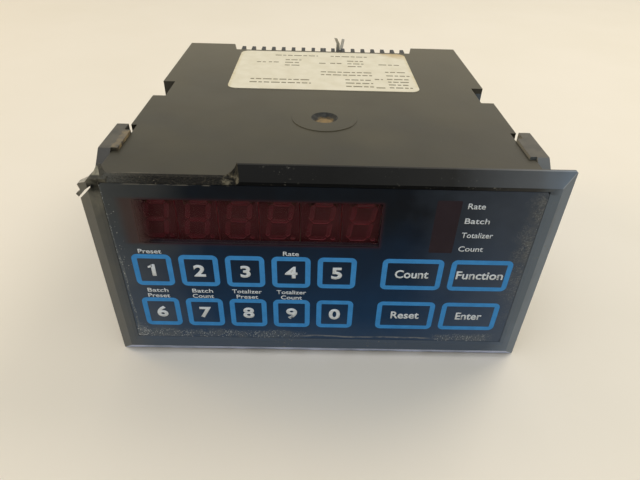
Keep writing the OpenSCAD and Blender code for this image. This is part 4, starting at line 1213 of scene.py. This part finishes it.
@dataclass
class LabelPrint:
    """Plain grey bars in rows and columns on the label, in millimetres."""

    bar_h: float = 1.2
    bar_r: float = 0.2
    word_gap: float = 0.7
    ink_t: float = 0.015
    words: tuple[float, ...] = (3.1, 1.6, 2.4, 3.8, 2.0)
    blocks: tuple[BarBlock, ...] = (
        BarBlock(-23.6, -2.6, 47.4), BarBlock(3.6, 21.7, 47.4), BarBlock(-18.2, -10.6, 32.1, 3, 4.1),
        BarBlock(11.4, 19.1, 32.1, 3, 4.1), BarBlock(-31.6, -27.4, 36.0), BarBlock(-2.1, 1.3, 36.0),
        BarBlock(-26.0, -20.5, 36.3), BarBlock(3.2, 8.6, 36.3), BarBlock(26.2, 36.0, 35.7),
        BarBlock(28.1, 38.0, 4.4, 4, 3.6), BarBlock(28.2, 38.8, 19.9, 2, 5.0),
        BarBlock(-1.3, 21.8, 19.5, 2, 3.9), BarBlock(9.5, 21.4, 4.9, 3, 4.2), BarBlock(22.4, 26.2, 4.0),
        BarBlock(22.6, 26.2, 14.7), BarBlock(-32.0, -5.6, 7.9, 2, 4.1))

    def build(self) -> None:
        """Builds all bars as one piece on the label."""
        low, high = (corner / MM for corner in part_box("top_label"))
        bm = bmesh.new()
        for number, block in enumerate(self.blocks):
            for row in range(block.rows):
                y = low.y + block.first + row * block.pitch
                self.line(bm, block.left, block.right, y, number + row)
        thicken(bm, self.ink_t)
        bmesh.ops.translate(bm, verts=bm.verts[:], vec=(0, 0, high.z))
        place_piece(bm, "label_bars", LABEL_PRINT)

    def line(self, bm: bmesh.types.BMesh, left: float, right: float, y: float, start: int) -> None:
        """Adds one line of bars of different lengths.

        Args:
            bm: The mesh to add to.
            left: Where the line starts.
            right: Where it ends.
            y: Where it lies.
            start: Which bar length comes first.
        """
        while right - left > self.word_gap:
            length = min(self.words[start % len(self.words)], right - left)
            rounded_face(bm, (left + length / 2, y), (length, self.bar_h), self.bar_r)
            left += length + self.word_gap
            start += 1


@dataclass
class Dressing:
    """Gives each solid the finish of its slot."""

    slots: dict[str, str] = field(init=False)

    def __post_init__(self) -> None:
        """Reads which slot each node has."""
        self.slots = {part["node"]: part["material_slot"] for part in frame["record"]["subparts"]}

    def dress(self) -> None:
        """Puts one material on each shown node."""
        made = {slot.value: FINISHES[slot].make() for slot in Slot}
        for name, node in frame["nodes"].items():
            node.data.materials.clear()
            node.data.materials.append(made[self.slots[name]])
            LOG.info("node %s: %s", name, self.slots[name])


@dataclass(frozen=True)
class Lamp:
    """One soft round lamp, in metres and watts."""

    name: str
    at: tuple[float, float, float]
    size: float
    power: float
    colour: str

    def hang(self, aim: Vector) -> None:
        """Puts the lamp in its place.

        Args:
            aim: The point that it shines at.
        """
        light = bpy.data.lights.new(self.name, "AREA")
        light.shape = "DISK"
        light.size = self.size
        light.energy = self.power
        light.color = linear(self.colour)[:3]
        holder = bpy.data.objects.new(self.name, light)
        holder.location = self.at
        holder.rotation_euler = (aim - Vector(self.at)).to_track_quat("-Z", "Y").to_euler()
        bpy.context.scene.collection.objects.link(holder)


@dataclass
class Stage:
    """The table, the lamps and the camera: the table's side, the near limit and the aim in metres."""

    floor_side: float = 8.0
    floor_front: float = -39.75
    floor_slope: float = 0.0307
    camera_at: tuple[float, float, float] = (-3.652, -132.611, 109.310)
    camera_azimuth: float = 1.094
    camera_elevation: float = 36.25
    camera_roll: float = 1.787
    lens: float = 28.283
    sensor: float = 36.0
    near: float = 0.01
    sky: str = "#e8e3d4"
    sky_back: float = 0.95
    sky_front: float = 0.5
    lamps: tuple[Lamp, ...] = (
        Lamp("key_lamp", (0.55, 0.45, 0.75), 0.5, 3.0, "#fff2e0"),
        Lamp("fill_lamp", (-0.15, -0.3, 1.1), 0.9, 4.0, "#e6eeff"),
        Lamp("warm_lamp", (-0.9, 0.35, 0.5), 0.5, 2.0, "#ffdca8"))
    aim: tuple[float, float, float] = (0.0, 0.05, 0.0)

    def build(self) -> None:
        """Sets up the floor, the light and the camera."""
        bpy.context.scene.view_settings.view_transform = "Standard"
        self.floor()
        self.light()
        self.camera()

    def floor(self) -> None:
        """A plain pale table in the plane that the bezel's lower edge and the housing's rear rest on."""
        bm = bmesh.new()
        bmesh.ops.create_grid(bm, x_segments=1, y_segments=1, size=self.floor_side / 2)
        tilt = Matrix.Rotation(math.atan(self.floor_slope), 4, "X")
        place = Matrix.Translation((0, 0, self.floor_front * MM))
        bmesh.ops.transform(bm, matrix=place @ tilt, verts=bm.verts[:])
        mesh = bpy.data.meshes.new("table")
        bm.to_mesh(mesh)
        bm.free()
        mesh.materials.append(TABLE.make())
        table = bpy.data.objects.new("table", mesh)
        bpy.context.scene.collection.objects.link(table)

    def light(self) -> None:
        """A pale sky, brighter towards the rear, and three soft lamps."""
        world = bpy.data.worlds.new("pale_room")
        bpy.context.scene.world = world
        world.use_nodes = True
        tree = world.node_tree
        place = add_node(tree, "ShaderNodeTexCoord").outputs["Generated"]
        rearward = add_node(tree, "ShaderNodeSeparateXYZ", {0: place}).outputs["Y"]
        levels = {"Value": rearward, "From Min": -1.0, "To Min": self.sky_front, "To Max": self.sky_back}
        fade = add_node(tree, "ShaderNodeMapRange", levels).outputs[0]
        sky = tree.nodes["Background"]
        sky.inputs["Color"].default_value = linear(self.sky)
        tree.links.new(fade, sky.inputs["Strength"])
        for lamp in self.lamps:
            lamp.hang(Vector(self.aim))

    def camera(self) -> None:
        """A camera at the photograph's place and angle."""
        angles = (self.camera_azimuth, self.camera_elevation, self.camera_roll)
        turn, drop, roll = (math.radians(angle) for angle in angles)
        forward = Vector((math.sin(turn) * math.cos(drop), math.cos(turn) * math.cos(drop), -math.sin(drop)))
        level = forward.cross(Vector((0, 0, 1))).normalized()
        rise = level.cross(forward)
        right = level * math.cos(roll) + rise * math.sin(roll)
        up = rise * math.cos(roll) - level * math.sin(roll)
        lens = bpy.data.cameras.new("camera")
        lens.lens = self.lens
        lens.sensor_width = self.sensor
        lens.clip_start = self.near
        holder = bpy.data.objects.new("camera", lens)
        place = Matrix((right, up, -forward)).transposed().to_4x4()
        place.translation = Vector(self.camera_at) * MM
        holder.matrix_world = place
        bpy.context.scene.collection.objects.link(holder)
        bpy.context.scene.camera = holder


def main() -> None:
    """Builds the dressed part, piece by piece."""
    logging.basicConfig(level=logging.INFO, format="%(name)s: %(message)s")
    Dressing().dress()
    FrontFilm().build()
    LabelPrint().build()
    Stage().build()


if __name__ == "__main__":
    main()
